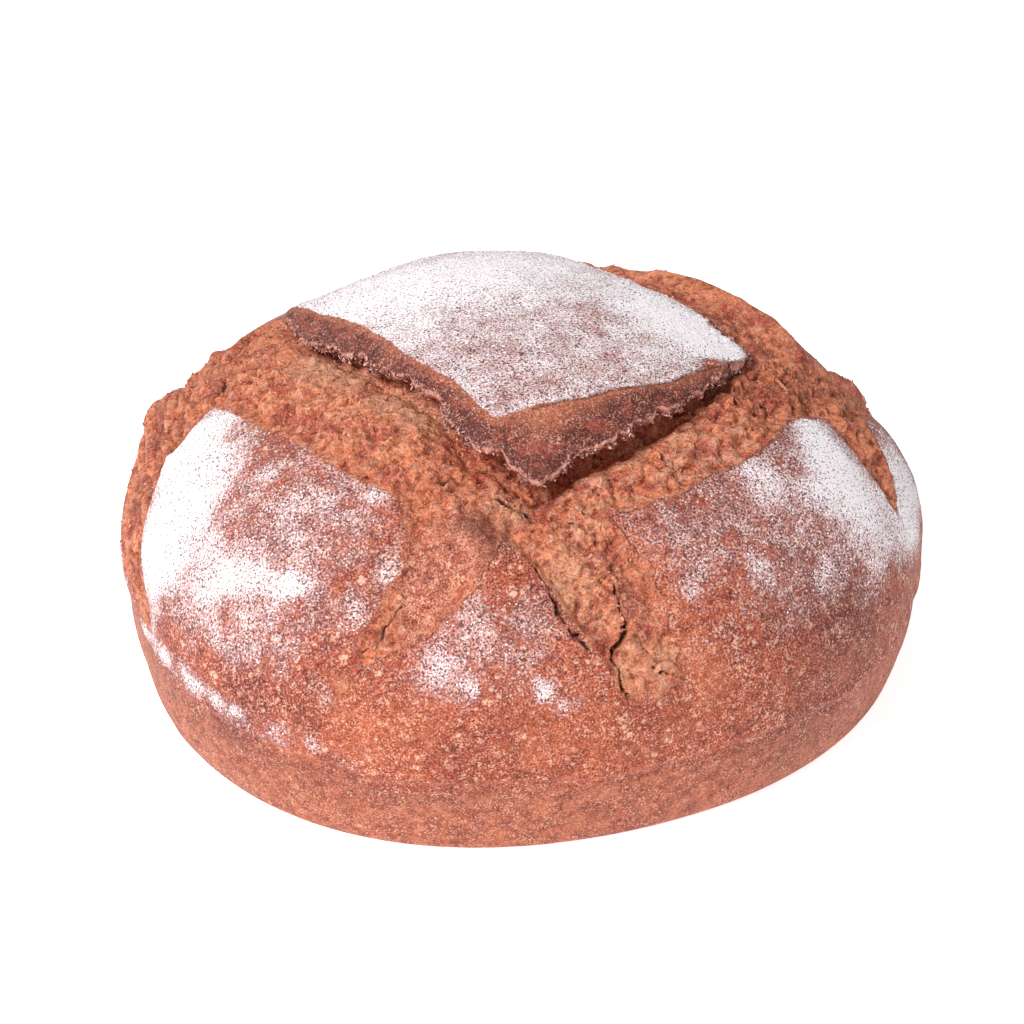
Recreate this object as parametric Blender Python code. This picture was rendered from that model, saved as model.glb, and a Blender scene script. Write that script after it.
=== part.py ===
"""A round spelt sourdough loaf, scored with four crossing cuts that opened in the oven.

The loaf is one closed body. Its skin is laid out on a chart: a flat map whose radius is the distance walked
over the crust from the crown, so that cuts and plates keep their true widths on the steep sides. The plates of
old crust between the cuts are outlines on that chart, and the torn dough between them is worked out from its
distance to their edges. The middle plate is a slab of its own, whose front edges lift into a thin lip over the
deepest part of the tear.
"""

import bmesh
import bpy
import numpy as np
from mathutils import Vector, noise

MM = 0.001

# The smooth loaf, as a turned profile stretched to an uneven round
MEAN_RADIUS = 114.7 * MM  # at the widest level
CROWN_HEIGHT = 111.8 * MM
WAIST_HEIGHT = 44.7 * MM  # the widest level, above the flat base
FOOT_RADIUS = 107.8 * MM  # where the rounded foot meets the base
CROWN_POWERS = (2.10, 1.503)  # the dome's curve, near the crown and near the waist
FOOT_POWER = 2.34
SHOULDER_ROUND = 6 * MM  # how softly the dome turns into the side
ROUND_REACH = 2.5  # how many times that distance the softening reaches
FOOT_CROWDING = 1.5  # above 1, points of the profile crowd towards the waist
PLAN_LOBES = ((2, 0.0507, -0.0083), (3, 0.0307, 0.0))  # lobes, and their cosine and sine share of the radius

# The plates of crust between the cuts: corners on the chart in millimetres, each with how far the torn dough
# lies below the side that starts there. Outer plates run down past the waist, where the cuts have died out.
MIDDLE_SIDES = {
    "front_left": ((-70, 33, 8), (-62, 12, 12), (-21, -38, 13), (-14, -54, 13)),
    "front_right": ((8, -71, 15), (29, -54, 14), (43, -38, 13), (51, -29, 11), (56, -18, 9)),
    "back_right": ((65, -1, 6),),
    "back_left": ((9, 82, 6), (-32, 70, 6)),
}
MIDDLE_PLATE = tuple(corner for side in MIDDLE_SIDES.values() for corner in side)
OUTER_PLATES = {
    "front_left": (
        (-93, -5, 1.4), (-47, -57, 1.4), (-31, -71, 1.8), (-33, -90, 2.0), (-54, -114, 1.0),
        (-90, -170, 1.0), (-175, -90, 1.0), (-128, -66, 1.6), (-124, -46, 1.8), (-113, -27, 1.8),
        (-102, -14, 1.8),
    ),
    "front": (
        (-2, -86, 1.2), (-10, -99, 1.4), (-24, -110, 1.0), (-52, -117, 0.5), (-88, -170, 0.5),
        (70, -170, 1.0), (41, -128, 3.0), (20, -110, 3.6), (5, -92, 3.0),
    ),
    "front_right": (
        (31, -76, 1.0), (52, -63, 1.2), (62, -50, 1.4), (73, -36, 1.6), (82, -17, 2.4), (90, -11, 3.0),
        (118, -27, 1.0), (180, -40, 1.0), (120, -180, 1.0), (58, -118, 0.4), (46, -92, 0.6),
    ),
    "right": (
        (109, 4, 3.0), (118, -12, 1.8), (122, -28, 1.0), (190, -45, 1.0), (190, 60, 1.0), (120, 25, 3.0),
    ),
    "back_right": (
        (90, 33, 2.4), (125, 58, 1.0), (180, 100, 1.0), (90, 180, 1.0), (50, 128, 1.2), (38, 97, 1.2),
    ),
    "back": ((20, 114, 1.6), (58, 140, 1.0), (70, 200, 1.0), (-10, 200, 1.0), (8, 135, 1.4)),
    "back_left": (
        (-91, 56, 1.6), (-48, 88, 1.6), (-8, 104, 1.6), (-8, 128, 1.0), (-20, 190, 1.0), (-170, 150, 1.0),
        (-118, 78, 1.6),
    ),
    "left": (
        (-104, 24, 2.2), (-122, 52, 1.4), (-190, 90, 1.0), (-190, -45, 1.0), (-138, -40, 1.6), (-124, -2, 2.2),
    ),
}

# The torn dough
TEAR_CURVE = 1.8  # above 1, the tear bellies up between its deepest line and the far plate
TEAR_STEP = 3.4 * MM  # width of the step down from a plate's edge
TEAR_FADE = (118 * MM, 146 * MM)  # chart radius over which the cuts die out down the side
ROLL_HEIGHT = 6.0 * MM  # the smooth roll of dough behind the middle plate's right side
ROLL_PLATE = "back_right"
ROLL_FROM, ROLL_TO = (6 * MM, 26 * MM), (42 * MM, 84 * MM)  # over which distances back it rises and dies out
ROLL_SKEW = 1.2  # above 1, its crest stands nearer the outer plate
ROLL_SHARE = (0.22, 0.40)  # its own plate's nearness among the plates, from no roll to a full one
EDGE_REACH = (2 * MM, 12 * MM)  # how far out from the plates a shallow hollow follows their edges
EDGE_SHARE = 0.6  # its depth as a share of the tear's
RIDGE_POINT, RIDGE_SIZE, RIDGE_HEIGHT = (-117, 27), 8 * MM, 3.6 * MM  # the small ear on the left plate
NOTCH_POINT, NOTCH_SIZE, NOTCH_DEPTH = (101, 17), 11 * MM, 3.6 * MM  # the hollow where the right cut runs out
CREST_POINT, CREST_SIZE, CREST_HEIGHT = (-9, -84), 6 * MM, 1.6 * MM  # the front plate's upturned tip
SINK_POINT, SINK_SIZE, SINK_DEPTH = (-66, 58), 40 * MM, 3.4 * MM  # the loaf slumps a little at its back left
PLATE_BULGE = 1.6 * MM
BULGE_REACH = 14 * MM

# The middle plate's slab
LIP_LIFT = 5.5 * MM  # how far its front corner stands above the dome
LIP_LIFT_FROM, LIP_LIFT_TO = -8 * MM, 70 * MM  # chart distance towards the front corner over which it lifts
LIP_LEAN = 0.1  # how far that direction leans to the left
TIP_POINT, TIP_SIZE, TIP_LIFT = (-68, 30), 15 * MM, 2.6 * MM  # its left corner curls up
FLOURED = (  # inside it the crust is level
    (-60, 26), (-4, -51), (12, -46), (36, -33), (50, -19), (65, -1), (9, 82), (-32, 70), (-68, 35),
)
BAND_DROP, BACK_DROP = 3.2 * MM, 1.5 * MM  # how far the bare band outside it slopes down to the lip
BACK_BAND = 6 * MM  # width of the rounded edge where there is no bare band
BORDER_SOFT = 0.1 * MM
BAND_CURVE = 1.3  # above 1, the band stays level at first and falls away towards the lip
LIP_THICKNESS, SLAB_THICKNESS = 2.4 * MM, 15 * MM
SLAB_REACH = 17 * MM  # how far in from the lip the slab is at its full thickness
UNDERCUT, BACK_UNDERCUT = 6 * MM, -4 * MM  # how far the hollow reaches in under the lip, in front and behind
UNDERCUT_WIDTH = 9 * MM  # width of the slope at the hollow's inner end
FRONT_FROM, FRONT_TO, FRONT_LEAN = -20 * MM, 12 * MM, 0.35  # where the plate's back turns into its front sides
ROOT_DEPTH = 6 * MM  # depth below the dome where the slab grows out of the loaf
SLAB_CELLS = 44

# The seam round the lower side, where the dough rose over its basket edge
SEAM_REACH, SEAM_SWAY = 157 * MM, (3 * MM, -3 * MM)  # its chart radius, and the shift of that right and back
SEAM_WIDTH, SEAM_DEPTH = 2.2 * MM, 1.0 * MM
SEAM_STEP, SEAM_STEP_WIDTH = 0.8 * MM, 4 * MM  # the side below it lies this much further in
SEAM_RIPPLES, SEAM_RIPPLE = 9, 1 * MM  # its waves round the loaf

# Unevenness
EDGE_SWAY, EDGE_SIZE = 1.6 * MM, 13 * MM  # how plate edges wander
SWELL, SWELL_SIZE = 0.7 * MM, 34 * MM  # slow waves in the crust
CRAG, CRAG_SIZE = 1.5 * MM, 7.5 * MM  # lumps in the torn dough
CRAG_FROM = 5 * MM  # how far from a plate they reach their full height
SWAY_SEEDS, SWELL_SEED, CRAG_SEED = (1.7, 8.3), 2.9, 4.1

PROFILE_STEPS = 1500
NEAR_SIDE = 1.5 * MM  # how sharply a tear's depth passes from one side of a plate to the next
NEAR_PLATE = 0.5 * MM  # how sharply it passes from one plate to the next
FOOT_SOFTEN = 12 * MM  # the crust's unevenness dies out over this distance above the base

SPHERE_STEPS = 7  # the starting ball has 20 * 4 ** (steps - 1) * 4 triangles
SKIN_CELL = 1.1 * MM  # one even skin over body and slab
BASE_TRIM = 0.25 * MM  # shaved off the base to leave it flat
TRIANGLES = 11500
CRUST_COLOUR, CRUST_ROUGHNESS = (0.50, 0.19, 0.11, 1.0), 0.85


def smooth_step(low, high, value):
    share = np.clip((value - low) / (high - low), 0.0, 1.0)
    return share * share * (3.0 - 2.0 * share)


def turned_profile():
    """The profile from the crown to the base's middle: distance walked, radius, height and outward normal."""
    steps = PROFILE_STEPS
    dome_power, dome_root = CROWN_POWERS
    share = np.sin(np.linspace(0.0, np.pi / 2, steps))
    dome_height = WAIST_HEIGHT + (CROWN_HEIGHT - WAIST_HEIGHT) * (1 - share**dome_power) ** (1 / dome_root)
    fall = 1 - (1 - np.linspace(0.0, 1.0, steps)) ** FOOT_CROWDING
    rounding = np.maximum(1 - fall**FOOT_POWER, 0) ** (1 / FOOT_POWER)
    foot_radius = FOOT_RADIUS + (MEAN_RADIUS - FOOT_RADIUS) * rounding
    base_radius = FOOT_RADIUS * (1 - np.linspace(0.0, 1.0, steps))
    radius = np.concatenate([MEAN_RADIUS * share, foot_radius[1:], base_radius[1:]])
    height = np.concatenate([dome_height, WAIST_HEIGHT * (1 - fall[1:]), np.zeros(steps - 1)])
    walked = np.concatenate([[0.0], np.cumsum(np.hypot(np.diff(radius), np.diff(height)))])
    even = np.linspace(0.0, walked[-1], 2 * steps)
    radius, height = np.interp(even, walked, radius), np.interp(even, walked, height)
    near_waist = np.exp(-(((even - walked[steps - 1]) / (ROUND_REACH * SHOULDER_ROUND)) ** 2))
    reach = int(ROUND_REACH * SHOULDER_ROUND / even[1])
    kernel = np.exp(-0.5 * (np.arange(-reach, reach + 1) * even[1] / SHOULDER_ROUND) ** 2)
    kernel /= kernel.sum()
    radius += near_waist * (np.convolve(np.pad(radius, reach, "edge"), kernel, "valid") - radius)
    height += near_waist * (np.convolve(np.pad(height, reach, "edge"), kernel, "valid") - height)
    across, down = np.gradient(radius), np.gradient(height)
    length = np.hypot(across, down)
    walked = np.concatenate([[0.0], np.cumsum(np.hypot(np.diff(radius), np.diff(height)))])
    return walked, radius, height, -down / length, across / length


WALKED, RADIUS, HEIGHT, NORMAL_OUT, NORMAL_UP = turned_profile()
BASE_FROM = WALKED[-1] - FOOT_RADIUS  # chart radius where the flat base starts


def plan_share(turn):
    return 1 + sum(c * np.cos(lobes * turn) + s * np.sin(lobes * turn) for lobes, c, s in PLAN_LOBES)


def on_loaf(chart, lift):
    """The places in space of points on the chart, each lifted along the crust's normal."""
    reach, turn = np.hypot(chart[:, 0], chart[:, 1]), np.arctan2(chart[:, 1], chart[:, 0])
    out = np.interp(reach, WALKED, RADIUS) * plan_share(turn) + lift * np.interp(reach, WALKED, NORMAL_OUT)
    up = np.interp(reach, WALKED, HEIGHT) + lift * np.interp(reach, WALKED, NORMAL_UP)
    return np.stack([out * np.cos(turn), out * np.sin(turn), up], axis=1)


def waves(chart, size, seed):
    """Smooth noise between about -1 and 1 at each chart point."""
    return np.array([noise.noise(Vector((x / size, y / size, seed))) for x, y in chart])


def wander(chart):
    """How far the edges of the plates stray from their straight sides."""
    return np.stack([waves(chart, EDGE_SIZE, seed) for seed in SWAY_SEEDS], axis=1) * EDGE_SWAY


def bump(chart, point, size, height):
    """A round rise, or a hollow where the height is negative."""
    away = np.linalg.norm(chart - np.array(point) * MM, axis=1) / size
    return height * np.exp(-(away**2))


def to_outline(chart, corners):
    """Signed distance to a plate's outline, negative inside, and the tear's depth at the nearest sides."""
    points = np.array([corner[:2] for corner in corners]) * MM
    depths = [corner[2] * MM for corner in corners]
    nearest = np.full(len(chart), np.inf)
    inside = np.zeros(len(chart), bool)
    weight, weighted = np.zeros(len(chart)), np.zeros(len(chart))
    for start, end, depth in zip(points, np.roll(points, -1, axis=0), depths):
        side = end - start
        along = np.clip((chart - start) @ side / (side @ side), 0.0, 1.0)
        gap = np.linalg.norm(chart - start - along[:, None] * side, axis=1)
        nearest = np.minimum(nearest, gap)
        share = 1 / (gap + NEAR_SIDE) ** 3
        weight, weighted = weight + share, weighted + share * depth
        spans = (start[1] > chart[:, 1]) != (end[1] > chart[:, 1])
        if side[1] != 0:
            inside ^= spans & (chart[:, 0] < start[0] + (chart[:, 1] - start[1]) * side[0] / side[1])
    return np.where(inside, -nearest, nearest), weighted / weight


def roll_share(chart, middle, gap, nearness):
    """How much of the smooth roll stands at each point, between the middle plate and the plate behind it."""
    way = np.clip(middle / (np.abs(middle) + np.abs(gap) + MM), 0, 1)
    ends = smooth_step(*ROLL_FROM, chart[:, 1]) * (1 - smooth_step(*ROLL_TO, chart[:, 1]))
    return np.sin(np.pi * way**ROLL_SKEW) ** 2 * smooth_step(*ROLL_SHARE, nearness) * ends


def tear_depth(chart):
    """How deep the torn dough lies, with the distances to the middle plate and to the nearest outer one."""
    middle, middle_depth = to_outline(chart, MIDDLE_PLATE)
    share = 1 / (np.maximum(middle, 0) + NEAR_PLATE)
    weight, weighted = share, share * middle_depth
    outer = np.full(len(chart), np.inf)
    roll = np.zeros(len(chart))
    for name, corners in OUTER_PLATES.items():
        gap, depth = to_outline(chart, corners)
        outer = np.minimum(outer, gap)
        share = 1 / (np.maximum(gap, 0) + NEAR_PLATE)
        weight, weighted = weight + share, weighted + share * depth
        if name == ROLL_PLATE:
            roll = roll_share(chart, middle, gap, share / weight)
    mean = weighted / weight
    deepest = max(corner[2] for corner in MIDDLE_PLATE) * MM
    depth = deepest * (mean / deepest) ** TEAR_CURVE
    depth += EDGE_SHARE * mean * (1 - smooth_step(*EDGE_REACH, outer))
    fade = 1 - smooth_step(*TEAR_FADE, np.linalg.norm(chart, axis=1))
    return (depth - ROLL_HEIGHT * roll) * fade, middle, outer


def seam_relief(chart):
    reach, turn = np.linalg.norm(chart, axis=1), np.arctan2(chart[:, 1], chart[:, 0])
    seam = SEAM_REACH + SEAM_SWAY[0] * np.cos(turn) + SEAM_SWAY[1] * np.sin(turn)
    seam += SEAM_RIPPLE * np.sin(SEAM_RIPPLES * turn)
    groove = -SEAM_DEPTH * np.exp(-(((reach - seam) / SEAM_WIDTH) ** 2))
    return groove - SEAM_STEP * smooth_step(seam, seam + SEAM_STEP_WIDTH, reach)


def swell(chart):
    """The slow waves of the crust, with the slump at its back left."""
    return SWELL * waves(chart, SWELL_SIZE, SWELL_SEED) + bump(chart, SINK_POINT, SINK_SIZE, -SINK_DEPTH)


def front_share(chart):
    """One along the middle plate's two front sides, and zero along its back."""
    return smooth_step(FRONT_FROM, FRONT_TO, -chart[:, 1] + FRONT_LEAN * np.abs(chart[:, 0]))


def crust_relief(chart):
    """Lift of the loaf's skin from the smooth form, at each chart point of the body."""
    reach = np.linalg.norm(chart, axis=1)
    depth, middle, outer = tear_depth(chart + wander(chart))
    plate = PLATE_BULGE * (1 - np.exp(np.minimum(outer, 0) / BULGE_REACH))
    torn = smooth_step(0, TEAR_STEP, outer)
    lift = plate * (1 - torn) - depth * torn
    crags = CRAG * waves(chart, CRAG_SIZE, CRAG_SEED) * smooth_step(0, CRAG_FROM, outer)
    lift += crags * (1 - smooth_step(*TEAR_FADE, reach))
    undercut = BACK_UNDERCUT + (UNDERCUT - BACK_UNDERCUT) * front_share(chart)
    under = smooth_step(-undercut - UNDERCUT_WIDTH, -undercut, middle)
    lift = np.where(middle < 0, -ROOT_DEPTH * (1 - under) + lift * under, lift)
    lift += bump(chart, RIDGE_POINT, RIDGE_SIZE, RIDGE_HEIGHT)
    lift += bump(chart, NOTCH_POINT, NOTCH_SIZE, -NOTCH_DEPTH)
    lift += bump(chart, CREST_POINT, CREST_SIZE, CREST_HEIGHT)
    lift += seam_relief(chart) + swell(chart)
    return lift * (1 - smooth_step(BASE_FROM - FOOT_SOFTEN, BASE_FROM, reach))


def slab_lift(chart, plain_chart, inward):
    """Lift of the middle plate's top, and its thickness, at points this far in from its lip."""
    front = -chart[:, 1] + LIP_LEAN * chart[:, 0]
    lift = LIP_LIFT * smooth_step(LIP_LIFT_FROM, LIP_LIFT_TO, front) + PLATE_BULGE + swell(chart)
    lift += bump(chart, TIP_POINT, TIP_SIZE, TIP_LIFT)
    border = np.maximum(to_outline(plain_chart, [(*corner, 0) for corner in FLOURED])[0], 0)
    bare = border / (border + inward + BORDER_SOFT)
    share = front_share(chart)
    lift -= BAND_DROP * bare**BAND_CURVE * share
    lift -= BACK_DROP * np.clip(1 - inward / BACK_BAND, 0, 1) ** 2 * (1 - share)
    thick = LIP_THICKNESS + (SLAB_THICKNESS - LIP_THICKNESS) * smooth_step(0, SLAB_REACH, inward)
    return lift, thick


def new_object(name, points, faces):
    mesh = bpy.data.meshes.new(name)
    mesh.from_pydata([tuple(point) for point in points], [], faces)
    mesh.validate()
    made = bpy.data.objects.new(name, mesh)
    bpy.context.scene.collection.objects.link(made)
    return made


def make_body():
    """The loaf without its middle plate, from a ball whose faces are spread evenly over the crust."""
    ball = bmesh.new()
    bmesh.ops.create_icosphere(ball, subdivisions=SPHERE_STEPS, radius=1.0)
    mesh = bpy.data.meshes.new("loaf")
    ball.to_mesh(mesh)
    ball.free()
    points = np.empty(len(mesh.vertices) * 3, np.float32)
    mesh.vertices.foreach_get("co", points)
    points = points.reshape(-1, 3).astype(float)
    rings = np.concatenate([[0.0], np.cumsum(np.diff(WALKED) * (RADIUS[1:] + RADIUS[:-1]))])
    reach = np.interp((1 - points[:, 2]) / 2, rings / rings[-1], WALKED)
    turn = np.arctan2(points[:, 1], points[:, 0])
    chart = np.stack([reach * np.cos(turn), reach * np.sin(turn)], axis=1)
    places = on_loaf(chart, crust_relief(chart))
    places[reach >= BASE_FROM, 2] = 0.0
    places[:, 2] = np.maximum(places[:, 2], 0.0)
    mesh.vertices.foreach_set("co", places.astype(np.float32).ravel())
    mesh.update()
    body = bpy.data.objects.new("loaf", mesh)
    bpy.context.scene.collection.objects.link(body)
    return body


def side_points(name, next_name, share):
    """Points along one side of the middle plate, evenly spaced, from its first corner to the next side's."""
    corners = np.array([corner[:2] for corner in (*MIDDLE_SIDES[name], MIDDLE_SIDES[next_name][0])]) * MM
    walked = np.concatenate([[0.0], np.cumsum(np.linalg.norm(np.diff(corners, axis=0), axis=1))])
    return np.stack([np.interp(share * walked[-1], walked, corners[:, axis]) for axis in (0, 1)], axis=1)


def plate_grid():
    """Chart points over the middle plate as a square grid, straight and wandering."""
    share = np.linspace(0.0, 1.0, SLAB_CELLS + 1)
    front_left = side_points("front_left", "front_right", share)
    front_right = side_points("front_right", "back_right", share)
    back_right = side_points("back_right", "back_left", share)[::-1]
    back_left = side_points("back_left", "front_left", share)[::-1]
    left, front, right, back = front_left[0], front_left[-1], back_right[-1], back_right[0]
    down, along = share[:, None, None], share[None, :, None]
    ruled = (1 - down) * front_left[None] + down * back_right[None]
    crossed = (1 - along) * back_left[:, None] + along * front_right[:, None]
    flat = (1 - down) * ((1 - along) * left + along * front) + down * ((1 - along) * back + along * right)
    chart = (ruled + crossed - flat).reshape(-1, 2)
    return chart, chart - wander(chart)


def make_slab():
    """The middle plate: a sheet of crust, thick in the middle and thin at the lip."""
    plain_chart, chart = plate_grid()
    inward = np.maximum(-to_outline(plain_chart, MIDDLE_PLATE)[0], 0)
    lift, thick = slab_lift(chart, plain_chart, inward)
    points = np.concatenate([on_loaf(chart, lift), on_loaf(chart, lift - thick)])
    side, under = SLAB_CELLS + 1, len(chart)
    faces = []
    for row in range(SLAB_CELLS):
        for column in range(SLAB_CELLS):
            a = row * side + column
            b, c, d = a + 1, a + side + 1, a + side
            faces.append((a, b, c, d))
            faces.append((under + d, under + c, under + b, under + a))
    last = SLAB_CELLS * side
    rim = list(range(SLAB_CELLS))
    rim += [SLAB_CELLS + side * row for row in range(SLAB_CELLS)]
    rim += [last + SLAB_CELLS - column for column in range(SLAB_CELLS)]
    rim += [last - side * row for row in range(SLAB_CELLS)]
    for here, there in zip(rim, rim[1:] + rim[:1]):
        faces.append((there, here, under + here, under + there))
    return new_object("middle_plate", points, faces)


def apply_modifier(target, kind, **settings):
    """One modifier on an object, evaluated and kept as its mesh."""
    modifier = target.modifiers.new(kind.lower(), kind)
    for name, value in settings.items():
        setattr(modifier, name, value)
    evaluated = target.evaluated_get(bpy.context.evaluated_depsgraph_get())
    mesh = bpy.data.meshes.new_from_object(evaluated)
    old = target.data
    target.modifiers.clear()
    target.data = mesh
    bpy.data.meshes.remove(old)


def keep_outer_skin(target):
    """Drops what is not joined to the skin's highest point, such as the wall of a pocket sealed inside."""
    shape = bmesh.new()
    shape.from_mesh(target.data)
    top = max(shape.verts, key=lambda vertex: vertex.co.z)
    kept, edge = {top}, [top]
    while edge:
        edge = [link.other_vert(vertex) for vertex in edge for link in vertex.link_edges]
        edge = [vertex for vertex in dict.fromkeys(edge) if vertex not in kept]
        kept.update(edge)
    bmesh.ops.delete(shape, geom=[vertex for vertex in shape.verts if vertex not in kept], context="VERTS")
    shape.to_mesh(target.data)
    shape.free()


def rest_at_origin(target):
    """Moves the loaf so that the middle of its box lies over the origin, with its base flat at zero."""
    mesh = target.data
    points = np.empty(len(mesh.vertices) * 3, np.float32)
    mesh.vertices.foreach_get("co", points)
    points = points.reshape(-1, 3)
    low, high = points.min(axis=0), points.max(axis=0)
    points -= np.array([(low[0] + high[0]) / 2, (low[1] + high[1]) / 2, low[2] + BASE_TRIM], np.float32)
    points[:, 2] = np.maximum(points[:, 2], 0.0)
    mesh.vertices.foreach_set("co", points.ravel())
    mesh.update()


def crust_material():
    material = bpy.data.materials.new("baked_crust")
    material.use_nodes = True
    shader = material.node_tree.nodes["Principled BSDF"]
    shader.inputs["Base Color"].default_value = CRUST_COLOUR
    shader.inputs["Roughness"].default_value = CRUST_ROUGHNESS
    return material


def main():
    for old in list(bpy.data.objects):
        bpy.data.objects.remove(old, do_unlink=True)
    body, slab = make_body(), make_slab()
    apply_modifier(body, "BOOLEAN", operation="UNION", object=slab, solver="EXACT")
    bpy.data.objects.remove(slab, do_unlink=True)
    apply_modifier(body, "REMESH", mode="VOXEL", voxel_size=SKIN_CELL, adaptivity=0.0)
    keep_outer_skin(body)
    body.data.calc_loop_triangles()
    apply_modifier(body, "DECIMATE", ratio=TRIANGLES / len(body.data.loop_triangles))
    rest_at_origin(body)
    body.data.materials.clear()
    body.data.materials.append(crust_material())
    body.data.shade_smooth()


main()
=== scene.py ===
import math

import bpy
import numpy as np
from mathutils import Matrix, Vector, noise


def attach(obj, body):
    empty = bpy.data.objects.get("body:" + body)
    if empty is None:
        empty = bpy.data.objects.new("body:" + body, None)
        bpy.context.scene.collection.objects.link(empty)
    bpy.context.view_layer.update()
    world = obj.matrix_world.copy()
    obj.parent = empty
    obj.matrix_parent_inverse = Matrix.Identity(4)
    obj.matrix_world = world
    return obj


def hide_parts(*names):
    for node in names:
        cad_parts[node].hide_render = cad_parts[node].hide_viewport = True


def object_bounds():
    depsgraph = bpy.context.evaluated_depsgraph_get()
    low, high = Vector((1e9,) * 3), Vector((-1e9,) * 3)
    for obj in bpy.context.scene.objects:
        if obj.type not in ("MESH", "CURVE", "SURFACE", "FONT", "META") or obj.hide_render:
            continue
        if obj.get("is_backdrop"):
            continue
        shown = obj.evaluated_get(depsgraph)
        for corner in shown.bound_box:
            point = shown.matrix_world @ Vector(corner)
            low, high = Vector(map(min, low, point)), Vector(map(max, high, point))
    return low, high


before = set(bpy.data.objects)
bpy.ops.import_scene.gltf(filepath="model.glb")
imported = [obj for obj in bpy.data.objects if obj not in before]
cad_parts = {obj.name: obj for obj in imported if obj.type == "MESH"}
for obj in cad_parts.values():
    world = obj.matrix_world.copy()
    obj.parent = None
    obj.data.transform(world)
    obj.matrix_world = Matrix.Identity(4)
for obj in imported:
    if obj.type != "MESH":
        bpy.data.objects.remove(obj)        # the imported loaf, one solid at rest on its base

cadLow, cadHigh = (np.array(corner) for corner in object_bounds())
mm = 0.001
print("frame loaded, the loaf's box is", (cadHigh - cadLow).round(4).tolist())


viewSettings = {
    "place": (-0.00385, -0.70853, 0.53852),
    "lookDown": 35.0,  # degrees below the horizon
    "lens": 100.69,
    "shift": (0.00342, 0.00186),
}
studio = {
    "floorSize": 6.0,
    "floorColour": (0.97, 0.965, 0.97, 1.0),
    "floorGlow": 0.72,  # keeps the paper pale where the loaf shades it
    "skyStrength": 0.42,
    "keyPlace": (-0.62, -0.74, 1.15),
    "keySize": 0.4,
    "keyPower": 19.0,
    "fillPlace": (-0.9, 0.9, 0.6),
    "fillSize": 0.7,
    "fillPower": 2.5,
}


def makeCamera(settings):
    bpy.ops.object.camera_add(location=settings["place"])
    camera = bpy.context.object
    camera.rotation_euler = (math.radians(90 - settings["lookDown"]), 0, 0)
    camera.data.lens = settings["lens"]
    camera.data.shift_x, camera.data.shift_y = settings["shift"]
    bpy.context.scene.camera = camera


def makeLamp(name, place, size, power):
    bpy.ops.object.light_add(type="AREA", location=place)
    lamp = bpy.context.object
    lamp.name = name
    lamp.rotation_euler = (Vector((0, 0, 0.05)) - Vector(place)).to_track_quat("-Z", "Y").to_euler()
    lamp.data.size = size
    lamp.data.energy = power


def makeStudio(settings):
    bpy.ops.mesh.primitive_plane_add(size=settings["floorSize"])
    floor = bpy.context.object
    floor.name = "studioFloor"
    finish = bpy.data.materials.new("floorPaper")
    finish.use_nodes = True
    shader = finish.node_tree.nodes["Principled BSDF"]
    shader.inputs["Base Color"].default_value = settings["floorColour"]
    shader.inputs["Roughness"].default_value = 0.9
    shader.inputs["Specular IOR Level"].default_value = 0.1
    shader.inputs["Emission Color"].default_value = (1.0, 1.0, 1.0, 1.0)
    shader.inputs["Emission Strength"].default_value = settings["floorGlow"]
    floor.data.materials.append(finish)
    floor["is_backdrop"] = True
    sky = bpy.data.worlds.new("studioSky")
    sky.use_nodes = True
    sky.node_tree.nodes["Background"].inputs["Color"].default_value = (1.0, 0.99, 1.0, 1.0)
    sky.node_tree.nodes["Background"].inputs["Strength"].default_value = settings["skyStrength"]
    bpy.context.scene.world = sky
    makeLamp("keyLamp", settings["keyPlace"], settings["keySize"], settings["keyPower"])
    makeLamp("fillLamp", settings["fillPlace"], settings["fillSize"], settings["fillPower"])
    bpy.context.scene.view_settings.view_transform = "Standard"


bpy.ops.object.select_all(action="DESELECT")
makeCamera(viewSettings)
makeStudio(studio)
print("camera and studio ready")

# The crust is laid out on a chart: a flat map whose radius is the distance walked over the crust
# from the crown
loafForm = {
    "meanRadius": 114.7 * mm,
    "crownHeight": 111.8 * mm,
    "waistHeight": 44.7 * mm,  # the widest level
    "footRadius": 107.8 * mm,  # where the rounded foot meets the base
    "crownPowers": (2.10, 1.503),
    "footPower": 2.34,
    "shoulderRound": 6 * mm,
    "planLobes": ((2, 0.0507, -0.0083), (3, 0.0307, 0.0)),
    "baseTrim": 0.25 * mm,
}

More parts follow.
